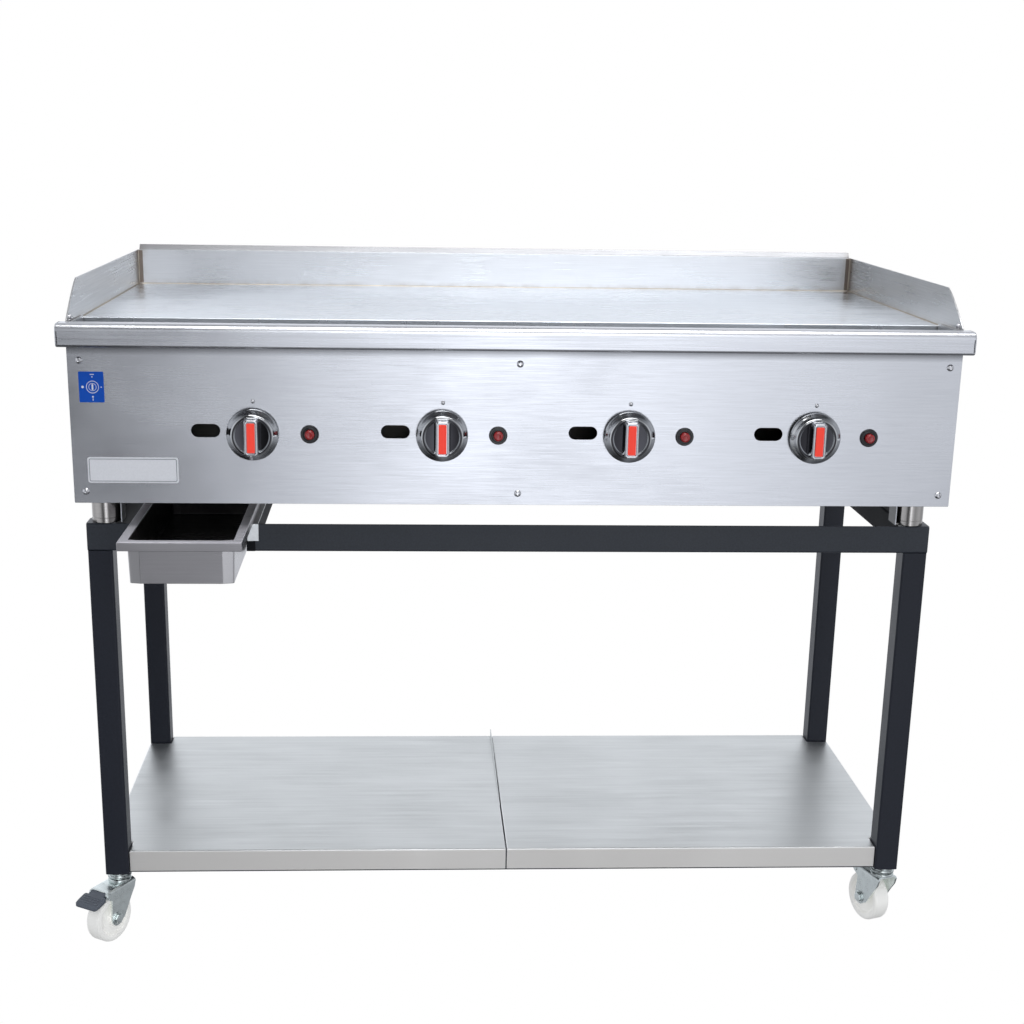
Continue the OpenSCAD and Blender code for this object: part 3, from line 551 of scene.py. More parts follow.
SLOT_MATERIAL = {
    "plate_steel": "plate", "splash_steel": "gutter", "body_steel": "flank", "inner_steel": "inner",
    "bearer_steel": "bearer", "brass": "brass", "lead_rubber": "rubber", "black_plastic": "black",
    "screw_steel": "screw", "plate_label": "label_plate", "blue_label": "blue", "knob_chrome": "chrome",
    "knob_red": "red", "button_red": "button", "foot_steel": "foot", "drawer_steel": "drawer",
    "runner_steel": "runner", "stand_paint": "paint", "shelf_steel": "shelf", "caster_zinc": "zinc",
    "wheel_nylon": "nylon", "pedal_plastic": "pedal"}
for sub in frame["record"]["subparts"]:
    ob = NODES[sub["node"]]
    ob.data.materials.clear()
    ob.data.materials.append(M[SLOT_MATERIAL[sub["material_slot"]]])

ROOT = "griddle"


def fixed(bm, name, slot, mat, *nodes):
    """A shape that doesn't move."""
    return finish_part(bm, name, ROOT, M[mat], nodes)


# ---------- cooking top ----------

lo, hi = span("front_panel")
face_y, panel_bottom, panel_top = lo[1], lo[2], hi[2]
panel_x = hi[0]
plate_lo, plate_hi = span("cooking_plate")
plate_z = plate_hi[2]

bm = bmesh.new()
slab(bm, plate_lo, plate_hi, 1.2, 3)
fixed(bm, "plate_slab", "plate_steel", "plate", "cooking_plate")

# backsplash: upright sheet with its top folded back, and short ends beyond the fold
lo, hi = span("backsplash")
by = lo[1]
side_lo, side_hi = span("side_splashes")
side_top = side_hi[2]
bm = bmesh.new()
sheet(bm, [(by + 1, lo[2]), (by + 1, side_top + 0.3), (hi[1] - 1.4, hi[2] - 0.9)], 2, lo[0] + 4, hi[0] - 4,
    at_x, (3,), 6, 0.35)
for s in (-1, 1):
    slab(bm, (min(s * (hi[0] - 4.2), s * hi[0]), by, lo[2]),
        (max(s * (hi[0] - 4.2), s * hi[0]), by + 2, side_top), 0.4)
fixed(bm, "backsplash_sheet", "splash_steel", "splash", "backsplash")

# side splashes: sloping front edge, slightly crowned
bm = bmesh.new()
z0, z1 = side_lo[2], side_hi[2]
y0, y1 = side_lo[1], side_hi[1]
slope_z = span("front_rail")[1][2] + 2
crest_y = face_y + 80
for s in (-1, 1):
    edge = []
    for k in range(9):
        f = k / 8
        edge.append((y0 + (crest_y - y0) * f, slope_z + (z1 - slope_z) * f + 2.2 * math.sin(math.pi * f)))
    outline = [(y0, z0)] + edge[:-1] + arc((crest_y + 4, z1 - 5), 5, 118, 90, 3) + [(y1, z1), (y1, z0)]
    a, b = sorted((s * (side_hi[0] - 2), s * side_hi[0]))
    prism(bm, outline, a, b, at_x, 0.5)
fixed(bm, "side_splash_sheets", "splash_steel", "side", "side_splashes")

# welds along the plate and up the corners
bm = bmesh.new()
wx = side_hi[0] - 2
for s in (-1, 1):
    bead(bm, (s * wx, plate_lo[1] + 1, plate_z), (s * wx, by - 1, plate_z), 1.7, 2.6, 0.25)
bead(bm, (-wx + 2, by, plate_z), (wx - 2, by, plate_z), 1.5, 2.6, 0.25)
for s in (-1, 1):
    bead(bm, (s * wx, by - 0.2, plate_z + 1), (s * wx, by - 0.2, side_top - 1), 1.7, 2.6, 0.25, 8, (0, 1, 0))
fixed(bm, "plate_welds", "splash_steel", "bead")
bm = bmesh.new()
for s in (-1, 1):
    a, b = sorted((s * (wx - 7), s * (wx - 1)))
    slab(bm, (a, by - 0.5, plate_z + 1.5), (b, by + 0.5, side_top - 1), 0.25, 1)
fixed(bm, "corner_strips", "splash_steel", "scorch")

# bullnose rail with end caps
lo, hi = span("front_rail")
lap = hi[1]
bm = bmesh.new()
ry, rz0, rz1 = lo[1], lo[2], hi[2]
sheet(bm, [(lap, rz1 - 1), (ry + 1, rz1 - 1), (ry + 1, rz0 + 1), (face_y + 1.5, rz0 + 1)], 2, lo[0] + 1.6,
    hi[0] - 1.6, at_x,
    (9, 3), 10, 0.3)
for s in (-1, 1):
    outline = [(lap, rz1)] + arc((ry + 10, rz1 - 10), 10, 90, 180, 8)
    outline += arc((ry + 4, rz0 + 4), 4, 180, 270, 4) + [(face_y + 1.5, rz0)]
    x_in, x_out = s * (hi[0] - 3), s * hi[0]
    c = (ry + 12, (rz0 + rz1) / 2)

    def drawn(k):
        return [Vector((0, c[0] + (u - c[0]) * k if u < c[0] else u,
                c[1] + (v - c[1]) * k)) for u, v in outline]
    rings = []
    for x, k in ((x_in, 1.0), (s * (hi[0] - 1.6), 1.0), (s * (hi[0] - 0.5), 0.972), (x_out, 0.91)):
        ring = drawn(k)
        for p in ring:
            p.x = x
        rings.append(ring)
    grow(bm, rings)
fixed(bm, "bullnose_rail", "splash_steel", "rail", "front_rail")

# ---------- body ----------

knobs = [span("knob_%d" % (k + 1)) for k in range(4)]
knob_c = [((a[0] + b[0]) / 2, (a[2] + b[2]) / 2) for a, b in knobs]
buttons = [span("igniter_button_%d" % (k + 1)) for k in range(4)]
button_c = [((a[0] + b[0]) / 2, (a[2] + b[2]) / 2) for a, b in buttons]
slots = [o["box_m"] for o in frame["record"]["physics"]["openings"] if o["name"].startswith("viewing_slot")]


def stadium(c, w, h, n=10):
    r = h / 2
    return arc((c[0] + w / 2 - r, c[1]), r, -90, 90, n) + arc((c[0] - w / 2 + r, c[1]), r, 90, 270, n)


loops = [round_rect(2 * panel_x, panel_top - panel_bottom, 1.0, 3, (0, (panel_top + panel_bottom) / 2))]
for (kx, kz), (ix, iz), so in zip(knob_c, button_c, slots):
    sc = ((so[0][0] + so[1][0]) / 2 / MM, (so[0][2] + so[1][2]) / 2 / MM)
    loops += [stadium(sc, 39, 18), circle((kx, kz), 6, 20), circle((ix, iz), 11, 28)]
bm = pierced("panel", loops, 1.5, 0.25, lambda u, v, h: Vector((u, face_y + 0.75 - h, v)))
slab(bm, (-panel_x + 1.5, face_y + 0.2, panel_bottom), (panel_x - 1.5, face_y + 16, panel_bottom + 1.5), 0.4)
fixed(bm, "front_panel_sheet", "body_steel", "panel", "front_panel")

lo, hi = span("side_panels")
bm = bmesh.new()
for s in (-1, 1):
    a, b = sorted((s * (hi[0] - 1.5), s * hi[0]))
    slab(bm, (a, lo[1], lo[2]), (b, hi[1], hi[2]), 0.35)
    a, b = sorted((s * (hi[0] - 42), s * (hi[0] - 0.8)))
    slab(bm, (a, face_y + 21, lo[2]), (b, hi[1], lo[2] + 1.5), 0.35)
fixed(bm, "side_panel_sheets", "body_steel", "flank", "side_panels")

lo, hi = span("rear_panel")
pipe_lo, pipe_hi = span("gas_inlet_pipe")
bore_c = frame["record"]["mounts"][0]["pos_m"]
pipe_x, pipe_z = bore_c[0] / MM, bore_c[2] / MM
loops = [round_rect(hi[0] - lo[0], hi[2] - lo[2], 1.0, 3, (0, (lo[2] + hi[2]) / 2)),
    circle((pipe_x, pipe_z), 11.5)]
for i in range(8):
    for dz in (54, 79):
        loops.append(stadium(((i - 3.5) * 130, plate_z - dz), 100, 12, 6))
bm = pierced("rear", loops, 1.5, 0.25, lambda u, v, h: Vector((u, hi[1] - 0.75 - h, v)))
for i in range(8):
    for dz in (54, 79):
        cx, cz = (i - 3.5) * 130, plate_z - dz
        sheet(bm, [(hi[1] - 1.4, cz + 6.5), (hi[1] - 8, cz - 3)], 1, cx - 50, cx + 50, at_x, (), 6, 0.2)
fixed(bm, "rear_panel_sheet", "body_steel", "panel", "rear_panel")


def socket_screw(bm, x, z, y, r=4.8, h=2.6, out=-1):
    """Button-head screw with a hexagon socket, on a face across Y."""
    lathe(bm, (x, y, z), (0, out, 0), [(r, -0.2), (r, 0.25), (r * 0.94, 0.9), (r * 0.8, 1.7),
            (r * 0.6, h - 0.25), (r * 0.46, h), (r * 0.4, h - 0.1), (r * 0.38, h - 1.5), (0, h - 1.5)], 24)


lo, hi = span("panel_fixings")
screw_zs = (panel_bottom + 16, panel_bottom + 193)
bm = bmesh.new()
for x in (-panel_x + 16, 0, panel_x - 16):
    for z in screw_zs:
        socket_screw(bm, x, z, face_y)
for kx, kz in knob_c:
    lathe(bm, (kx + 1, face_y, panel_bottom + 140), (0, -1, 0),
        [(2.9, -0.2), (2.9, 0.4), (2.3, 1.5), (1.2, 2.3), (0, 2.5)], 20)
for s in (-1, 1):
    lathe(bm, (s * (side_hi[0] - 2), face_y + 24, plate_z + 8), (-s, 0, 0),
        [(4.5, -0.2), (4.4, 0.5), (3.6, 1.7), (2.2, 2.3), (1.8, 2.3), (1.7, 1.2), (0, 1.2)], 24)
fixed(bm, "screw_heads", "screw_steel", "screw", "panel_fixings")
bm = bmesh.new()
rear_y = span("rear_panel")[1][1]
for x in (-560, -280, 0, 280, 520):
    for z in (panel_bottom + 14, plate_z - 12):
        socket_screw(bm, x, z, rear_y, 4.2, 2.2, 1)
fixed(bm, "rear_screw_heads", "screw_steel", "screw")

# nameplate: blank, with a raised border
lo, hi = span("nameplate")
cx, cz = (lo[0] + hi[0]) / 2, (lo[2] + hi[2]) / 2
w, h = hi[0] - lo[0], hi[2] - lo[2]
bm = bmesh.new()
prism(bm, round_rect(w, h, 3, 5, (cx, cz)), hi[1], lo[1] + 0.25, at_y, 0.2)
fixed(bm, "nameplate_blank", "plate_label", "label_plate", "nameplate")
bm = pierced("nameplate_border", [round_rect(w - 4, h - 4, 2, 5, (cx, cz)),
        round_rect(w - 5.6, h - 5.6, 1.4, 5, (cx, cz))],
    0.3, 0.05, lambda u, v, t: Vector((u, lo[1] + 0.17 - t, v)))
fixed(bm, "nameplate_border", "plate_label", "grey_ink")

# blue label with a plain dial sign: rings, a bar and dots
lo, hi = span("dial_label")
cx, cz = (lo[0] + hi[0]) / 2, (lo[2] + hi[2]) / 2
w, h = hi[0] - lo[0], hi[2] - lo[2]
bm = bmesh.new()
prism(bm, round_rect(w, h, 1.2, 4, (cx, cz)), hi[1], lo[1] + 0.2, at_y, 0.12)
fixed(bm, "dial_label_sheet", "blue_label", "blue", "dial_label")
ink_y = lo[1] + 0.15
signs = [[circle((cx + 1.5, cz), 8.4, 40), circle((cx + 1.5, cz), 7.6, 40)],
    [circle((cx + 1.5, cz), 5.2, 36), circle((cx + 1.5, cz), 4.6, 36)],
    [round_rect(2.2, 8, 0.8, 3, (cx + 1.5, cz))],
    [circle((cx - 11.5, cz), 1.7, 20)], [circle((cx + 1.5, cz + 13.5), 0.8, 12)],
    [round_rect(5.5, 1.0, 0.4, 2, (cx + 1.5, cz + 16.8))], [circle((cx + 1.5, cz - 13), 1.2, 16)],
    [round_rect(1.0, 3.2, 0.4, 2, (cx + 1.5, cz - 16.6))], [circle((cx + 13, cz), 0.8, 12)]]
bm = bmesh.new()
for sign in signs:
    merge(bm, pierced("sign", sign, 0.2, 0.03, lambda u, v, t: Vector((u, ink_y - t, v))))
fixed(bm, "dial_sign", "blue_label", "white_ink")

# ---------- knobs and igniters ----------

for k in range(4):
    n = k + 1
    (lo, hi), (x, z) = knobs[k], knob_c[k]
    r = (hi[0] - lo[0]) / 2
    back, front = hi[1], lo[1]
    body = "knob_%d" % n
    bm = bmesh.new()
    crown = r - 8
    top = back - 13
    lathe(bm, (x, 0, z), (0, -1, 0), [
            (0, -back), (r - 2.2, -back), (r - 1.2, -back), (r - 0.3, -back + 0.5), (r, -back + 1.4),
            (r - 0.2, -back + 2.6),
            (r - 1.6, -back + 4.6), (r - 3.4, -back + 6.6), (r - 5.2, -back + 9.0), (r - 6.3, -back + 11.0),
            (r - 7.0, -back + 12.2), (crown - 0.8, -top - 0.1), (crown - 2.2, -top), (crown - 3.4, -top - 0.4),
            (crown - 4.0, -top - 1.1), (crown - 4.6, -top - 1.6), (9, -top - 1.9), (0, -top - 1.9)], 72)
    finish_part(bm, "knob_skirt_%d" % n, body, M["chrome"], ["knob_%d" % n], 40)
    # bar grip, waisted in the middle, with a rim round the pocket
    bm = bmesh.new()
    half = crown - 1
    rings = []
    for y, w, h in ((top + 2.2, 11.2, half), (top - 1.0, 10.2, half - 0.4), (front + 7, 9.6, half - 1.0),
            (front + 1.6, 9.2, half - 1.6), (front + 0.4, 8.6, half - 2.2), (front, 7.8, half - 3.0),
            (front, 6.6, half - 4.6), (front + 0.3, 6.2, half - 5.1), (front + 1.6, 6.0, half - 5.3)):
        rings.append([Vector((x + u, y, z + v)) for u, v in round_rect(2 * w, 2 * h, min(3.6, w * 0.45), 5)])
    grow(bm, rings)
    finish_part(bm, "knob_bar_%d" % n, body, M["grip"], (), 40)
    lo_i, hi_i = span("knob_insert_%d" % n)
    bm = bmesh.new()
    rings = []
    iw, ih = (hi_i[0] - lo_i[0]) / 2, (hi_i[2] - lo_i[2]) / 2
    for y, dw in ((hi_i[1] - 0.4, 0.1), (lo_i[1] + 0.5, 0.1), (lo_i[1] + 0.15, 0.35), (lo_i[1], 0.9)):
        rings.append([Vector((x + u, y, z + v)) for u, v in round_rect(2 * (iw - dw), 2 * (ih - dw), 1.4, 4)])
    grow(bm, rings)
    finish_part(bm, "knob_inlay_%d" % n, body, M["red"], ["knob_insert_%d" % n], 40)
    # pointer line at the skirt's right edge
    bm = bmesh.new()
    sheet(bm, [(r - 6.4, -(top + 2.0)), (r - 2.6, -(back - 6.4))], 0.5, -0.8, 0.8,
        lambda u, v, h: Vector((x + u, -v - 0.15, z + h)), (), 4, 0.1)
    finish_part(bm, "knob_tick_%d" % n, body, M["white_ink"])

    (lo, hi), (x, z) = buttons[k], button_c[k]
    bm = bmesh.new()
    rb = (hi[0] - lo[0]) / 2
    lathe(bm, (x, 0, z), (0, -1, 0), [(0, -hi[1]), (rb, -hi[1]), (rb, -lo[1] - 2.2), (rb - 0.3, -lo[1] - 1.3),
            (rb - 1.2, -lo[1] - 0.5),
            (rb - 2.4, -lo[1] - 0.25), (rb - 3.2, -lo[1] - 0.5), (0, -lo[1] - 0.9)], 36)
    finish_part(bm, "push_button_%d" % n, "igniter_button_%d" % n, M["button"],
        ["igniter_button_%d" % n])

lo, hi = span("igniter_bezels")
bm = bmesh.new()
for x, z in button_c:
    bore = 6.56
    lathe(bm, (x, face_y, z), (0, -1, 0), [
            (bore, -22), (bore, 2.4), (bore + 0.3, 2.9), (bore + 1.2, 3.0), (bore + 2.0, 2.9),
            (bore + 2.4, 2.3), (bore + 3.0, 2.2),
            (11.6, 2.3), (12.1, 1.9), (12.5, 1.1), (12.5, 0), (10.9, 0), (10.9, -1.5), (14, -1.5), (14, -5.5),
            (10.9, -5.5), (10.9, -28),
            (1.6, -28), (1.6, -36), (0, -36), (0, -22), (bore, -22)], 48)
fixed(bm, "piezo_bezels", "black_plastic", "black", "igniter_bezels")

# ---------- gas inlet ----------

bm = bmesh.new()
r = 10.5
y_end = pipe_hi[1]
elbow = pipe_lo[1] + 15
prof = [(r - 2.6, elbow - y_end), (r - 2.6, -0.8), (r - 1.9, 0), (r - 1.1, 0)]
d = -0.9
while d > -21:
    prof += [(r - 0.15, d), (r, d - 0.25), (r - 0.15, d - 0.5), (r - 0.95, d - 0.95)]
    d -= 1.81
prof += [(r, -22), (r, elbow - y_end)]
lathe(bm, (pipe_x, y_end, pipe_z), (0, 1, 0), prof, 32)
lathe(bm, (pipe_x, elbow, pipe_z), (0, 1, 0), [(r, 24), (15, 23.4), (15, 0), (14.2, -5), (10.6, -10.6),
        (5, -14.2), (0, -15)], 28)
lathe(bm, (pipe_x, elbow, pipe_z), (-1, 0, 0), [(14.6, -6), (15, 0), (15, 15), (13.5, 15)], 28)
nut = [(pipe_x + 17 * math.cos(math.radians(60 * k)),
        pipe_z + 17 * math.sin(math.radians(60 * k))) for k in range(6)]
prism(bm, nut, rear_y, rear_y + 8, at_y, 0.8)
fixed(bm, "inlet_pipe_threaded", "brass", "brass", "gas_inlet_pipe")

# ---------- feet and brackets ----------

leg_lo, leg_hi = span("legs")
leg_s = 35
foot_lo, foot_hi = span("feet")
foot_r = 20.5
bracket_half = 16
foot_x = foot_hi[0] - foot_r
foot_ys = (foot_lo[1] + foot_r, foot_hi[1] - foot_r)
bm = bmesh.new()
for s in (-1, 1):
    for y in foot_ys:
        h = foot_hi[2] - foot_lo[2]
        lathe(bm, (s * foot_x, y, foot_lo[2]), (0, 0, 1), [
                (0, 0), (foot_r - 0.7, 0), (foot_r - 0.2, 0.3), (foot_r, 0.9), (foot_r, 6.6), (foot_r - 0.4, 7),
                (foot_r - 0.4, 7.6),
                (foot_r, 8), (foot_r, h - 5), (foot_r - 0.4, h - 3.6), (17, h - 3), (17, h), (0, h)], 48)
fixed(bm, "feet_turned", "foot_steel", "foot", "feet")

lo, hi = span("foot_brackets")
bm = bmesh.new()
for s in (-1, 1):
    for y in foot_ys:
        x_in = foot_x - foot_r - 2.5
        sheet(bm, [(s * hi[0], hi[2] - 1), (s * x_in, hi[2] - 1), (s * x_in, lo[2])], 1.8, y - bracket_half,
            y + bracket_half,
            lambda u, v, t: Vector((u, t, v)), (3,), 5, 0.3)
fixed(bm, "foot_angle_brackets", "body_steel", "bracket", "foot_brackets")

# ---------- stand ----------


def tube_prism(bm, low, high, axis, r=3.0):
    """Square tube seen from outside: rounded long edges."""
    k = [i for i in range(3) if i != axis]
    a, b = high[k[0]] - low[k[0]], high[k[1]] - low[k[1]]
    c = ((high[k[0]] + low[k[0]]) / 2, (high[k[1]] + low[k[1]]) / 2)
    rings = []
    for h in (low[axis], high[axis]):
        ring = []
        for u, v in round_rect(a, b, r, 4, c):
            p = Vector((0, 0, 0))
            p[k[0]], p[k[1]], p[axis] = u, v, h
            ring.append(p)
        rings.append(ring)
    grow(bm, rings)


bm = bmesh.new()
for s in (-1, 1):
    for y in (leg_lo[1], leg_hi[1] - leg_s):
        a, b = sorted((s * (leg_hi[0] - leg_s), s * leg_hi[0]))
        tube_prism(bm, (a, y, leg_lo[2]), (b, y + leg_s, leg_hi[2]), 2)
# legs take a darker copy of the stand paint: painted shade
fixed(bm, "leg_tubes", "stand_paint", "leg_paint", "legs")

rail_lo, rail_hi = span("top_cross_rails")
run_lo, run_hi = span("drawer_runners")
drawer_lo, drawer_hi = span("grease_drawer")
dcx = (drawer_lo[0] + drawer_hi[0]) / 2
# half width of the drawer's bay, and the width of its side bars
bay, bay_bar = 84, 12.5
bm = bmesh.new()
ey = rail_lo[1]
for s in (-1, 1):
    a, b = sorted((s * (leg_hi[0] - leg_s), s * leg_hi[0]))
    tube_prism(bm, (a, ey, rail_lo[2]), (b, ey + leg_s, rail_hi[2]), 0)
    a, b = sorted((s * (leg_hi[0] - leg_s + 0.2), dcx + s * bay))
    angle = [(ey + leg_s, rail_lo[2]), (ey + leg_s, rail_lo[2] + 2)] + arc((ey + 4, rail_lo[2] + 4), 2, 270,
        180, 4)
    angle += [(ey + 2, rail_hi[2] - 0.4), (ey + 1.6, rail_hi[2]), (ey + 0.4, rail_hi[2]),
        (ey, rail_hi[2] - 0.4)]
    prism(bm, angle + arc((ey + 3, rail_lo[2] + 3), 3, 180, 270, 5), a, b, at_x, 0)
tube_prism(bm, (rail_lo[0], rail_hi[1] - leg_s, rail_lo[2]), (rail_hi[0], rail_hi[1], rail_hi[2]), 0)
fixed(bm, "cross_rail_tubes", "stand_paint", "paint", "top_cross_rails")
bm = bmesh.new()
for s in (-1, 1):
    a, b = sorted((s * (leg_hi[0] - leg_s), s * leg_hi[0]))
    tube_prism(bm, (a, ey + leg_s, rail_lo[2]), (b, rail_hi[1] - leg_s, rail_hi[2]), 1)
    a, b = sorted((s * (bay - bay_bar), s * bay))
    slab(bm, (dcx + a, ey + 0.4, rail_lo[2]), (dcx + b, rail_hi[1] - leg_s, rail_hi[2]), 0.8)
# side rails take a darker copy of the stand paint: painted shade
fixed(bm, "side_rail_tubes", "stand_paint", "side_paint", "top_side_rails")
lo, hi = span("lower_rails")
bm = bmesh.new()
for y in (lo[1], hi[1] - 30):
    tube_prism(bm, (lo[0], y, lo[2]), (hi[0], y + 30, hi[2]), 0, 2.5)
for s in (-1, 1):
    a, b = sorted((s * (hi[0] - 33), s * (hi[0] - 3)))
    tube_prism(bm, (a, lo[1] + 30, lo[2]), (b, hi[1] - 30, hi[2]), 1, 2.5)
fixed(bm, "lower_rail_tubes", "stand_paint", "paint", "lower_rails")

# ---------- shelf ----------


def inset(points, g):
    """Draws a closed right-angled outline in by g; the outline runs counter-clockwise."""
    out = []
    n = len(points)
    for k in range(n):
        a, b, c = (Vector(points[(k + i) % n]) for i in (-1, 0, 1))
        u, w = (b - a).normalized(), (c - b).normalized()
        out.append(b + Vector((-u.y, u.x)) * g + Vector((-w.y, w.x)) * g)
    return out


def rounded(points, r, n=3):
    """Rounds the corners of a closed outline."""
    out = []
    m = len(points)
    for k in range(m):
        path = [points[k - 1], points[k], points[(k + 1) % m]]
        out += fillet(path, (r,), n)[1:-1]
    return out


def tray(bm, outline, z0, z1, t=1.2):
    """Folded tray, open underneath, with its top edge rolled."""
    levels = [(t + 0.6, z1 - t), (t, z1 - t - 0.8), (t, z0 + 0.3), (0.9, z0), (0.3, z0), (0, z0 + 0.4),
        (0, z1 - 2.4),
        (0.2, z1 - 1.3), (0.7, z1 - 0.6), (1.4, z1 - 0.15), (2.4, z1)]
    grow(bm, [[Vector((p.x, p.y, z)) for p in rounded(inset(outline, g), 0.5)] for g, z in levels])


for side, node in (("left", "shelf_left"), ("right", "shelf_right")):
    lo, hi = span(node)
    top = span("shelf_right")[1][2]
    seam = lo[0] if side == "right" else -hi[0]
    out_x = leg_hi[0]
    in_x = out_x - leg_s - 1
    n0, n1 = leg_lo[1] + leg_s + 2.5, leg_hi[1] - leg_s - 2
    outline = [(seam, lo[1]), (in_x, lo[1]), (in_x, n0), (out_x, n0), (out_x, n1), (in_x, n1), (in_x, hi[1]),
        (seam, hi[1])]
    if side == "left":
        outline = [(-u, v) for u, v in outline[::-1]]
    bm = bmesh.new()
    tray(bm, outline, lo[2], top)
    if side == "left":
        prism(bm, [(lo[1] + 165, top - 1), (lo[1] + 175, top - 0.2), (hi[1], hi[2]), (hi[1], top - 1)],
            hi[0] - 1.2, hi[0], at_x, 0.2)
    fixed(bm, "shelf_tray_" + side, "shelf_steel", "shelf", node)

# ---------- grease drawer and runners ----------

rim_z = drawer_hi[2]
w, d = drawer_hi[0] - drawer_lo[0], drawer_hi[1] - drawer_lo[1]
pan_d, low = d / 2 - 13, drawer_lo[2]
cy = (drawer_lo[1] + drawer_hi[1]) / 2


def pan_ring(half_w, half_d, recede, r, z):
    """Level outline whose front and back faces draw back a little towards the sides."""
    side = half_d - recede
    corners = [(54.5, half_d), (-54.5, half_d), (-half_w, side), (-half_w, -side), (-54.5, -half_d),
        (54.5, -half_d), (half_w, -side), (half_w, side)]
    return [Vector((dcx + p.x, cy + p.y, z)) for p in rounded(corners, r, 4)]


levels = [
    (68.1, pan_d - 0.9, 3, 2, low), (68.8, pan_d - 0.2, 3, 2.4, low + 0.3), (69, pan_d, 3, 2.5, low + 0.9),
    (70.8, pan_d, 3, 2.5, rim_z - 1.6), (w / 2 - 2.5, d / 2 - 2.5, 0.02, 0.8, rim_z - 1.6),
    (w / 2 - 1.6, d / 2 - 1.6, 0.02, 0.6, rim_z - 3.2),
    (w / 2 - 1.5, d / 2 - 1.5, 0.02, 0.6, rim_z - 11.8), (w / 2 - 1.2, d / 2 - 1.2, 0.02, 0.7, rim_z - 12),
    (w / 2 - 0.3, d / 2 - 0.3, 0.02, 1, rim_z - 12),
    (w / 2, d / 2, 0.02, 1.1, rim_z - 11.6), (w / 2, d / 2, 0.02, 1.1, rim_z - 2),
    (w / 2 - 0.25, d / 2 - 0.25, 0.02, 1, rim_z - 0.9),
    (w / 2 - 0.8, d / 2 - 0.8, 0.02, 0.9, rim_z - 0.2), (w / 2 - 1.5, d / 2 - 1.5, 0.02, 0.7, rim_z),
    (71, pan_d + 0.75, 3, 3.3, rim_z), (69.9, pan_d - 0.6, 3, 3.6, rim_z - 0.5),
    (69.2, pan_d - 1.3, 3, 3.8, rim_z - 1.8), (69, pan_d - 1.5, 3, 4, rim_z - 3.5),
    (67.5, pan_d - 1.5, 3, 4, low + 4), (67, pan_d - 2, 3, 3.8, low + 2.4), (66, pan_d - 3, 3, 3, low + 1.7),
    (64, pan_d - 5, 3, 2, low + 1.5)]
bm = bmesh.new()
grow(bm, [pan_ring(*level) for level in levels])
finish_part(bm, "drawer_pan", "drawer", M["drawer"], ["grease_drawer"], 28)

bm = bmesh.new()
for s in (-1, 1):
    a, b = sorted((s * 73, s * 89))
    sheet(bm, [(run_hi[1], run_hi[2] - 0.75), (run_lo[1] + 0.75, run_hi[2] - 0.75),
            (run_lo[1] + 0.75, run_lo[2])], 1.5,
        dcx + a, dcx + b, at_x, (1.6,), 5, 0.25)
fixed(bm, "runner_strips", "runner_steel", "runner", "drawer_runners")

# ---------- casters ----------

joints = {j["name"]: j for j in frame["joints"]}
wheel_r, trail, fork_in, fork_t = 37.5, 28.0, 14.5, 2.5
caster_top = leg_lo[2]
fork_top = caster_top - 10
pedal_pivot = (44, 80)


def boolean(bm_a, bm_b, op):
    """Combines two closed shapes."""
    obs = []
    for k, b in enumerate((bm_a, bm_b)):
        me = bpy.data.meshes.new("cut%d" % k)
        bmesh.ops.recalc_face_normals(b, faces=b.faces)
        b.to_mesh(me)
        b.free()
        ob = add("cut%d" % k, me)
        obs.append(ob)
    m = obs[0].modifiers.new("b", "BOOLEAN")
    m.operation = op
    m.solver = "EXACT"
    m.object = obs[1]
    me = bpy.data.meshes.new_from_object(obs[0].evaluated_get(bpy.context.evaluated_depsgraph_get()))
    for ob in obs:
        bpy.data.objects.remove(ob)
    out = bmesh.new()
    out.from_mesh(me)
    bpy.data.meshes.remove(me)
    return out


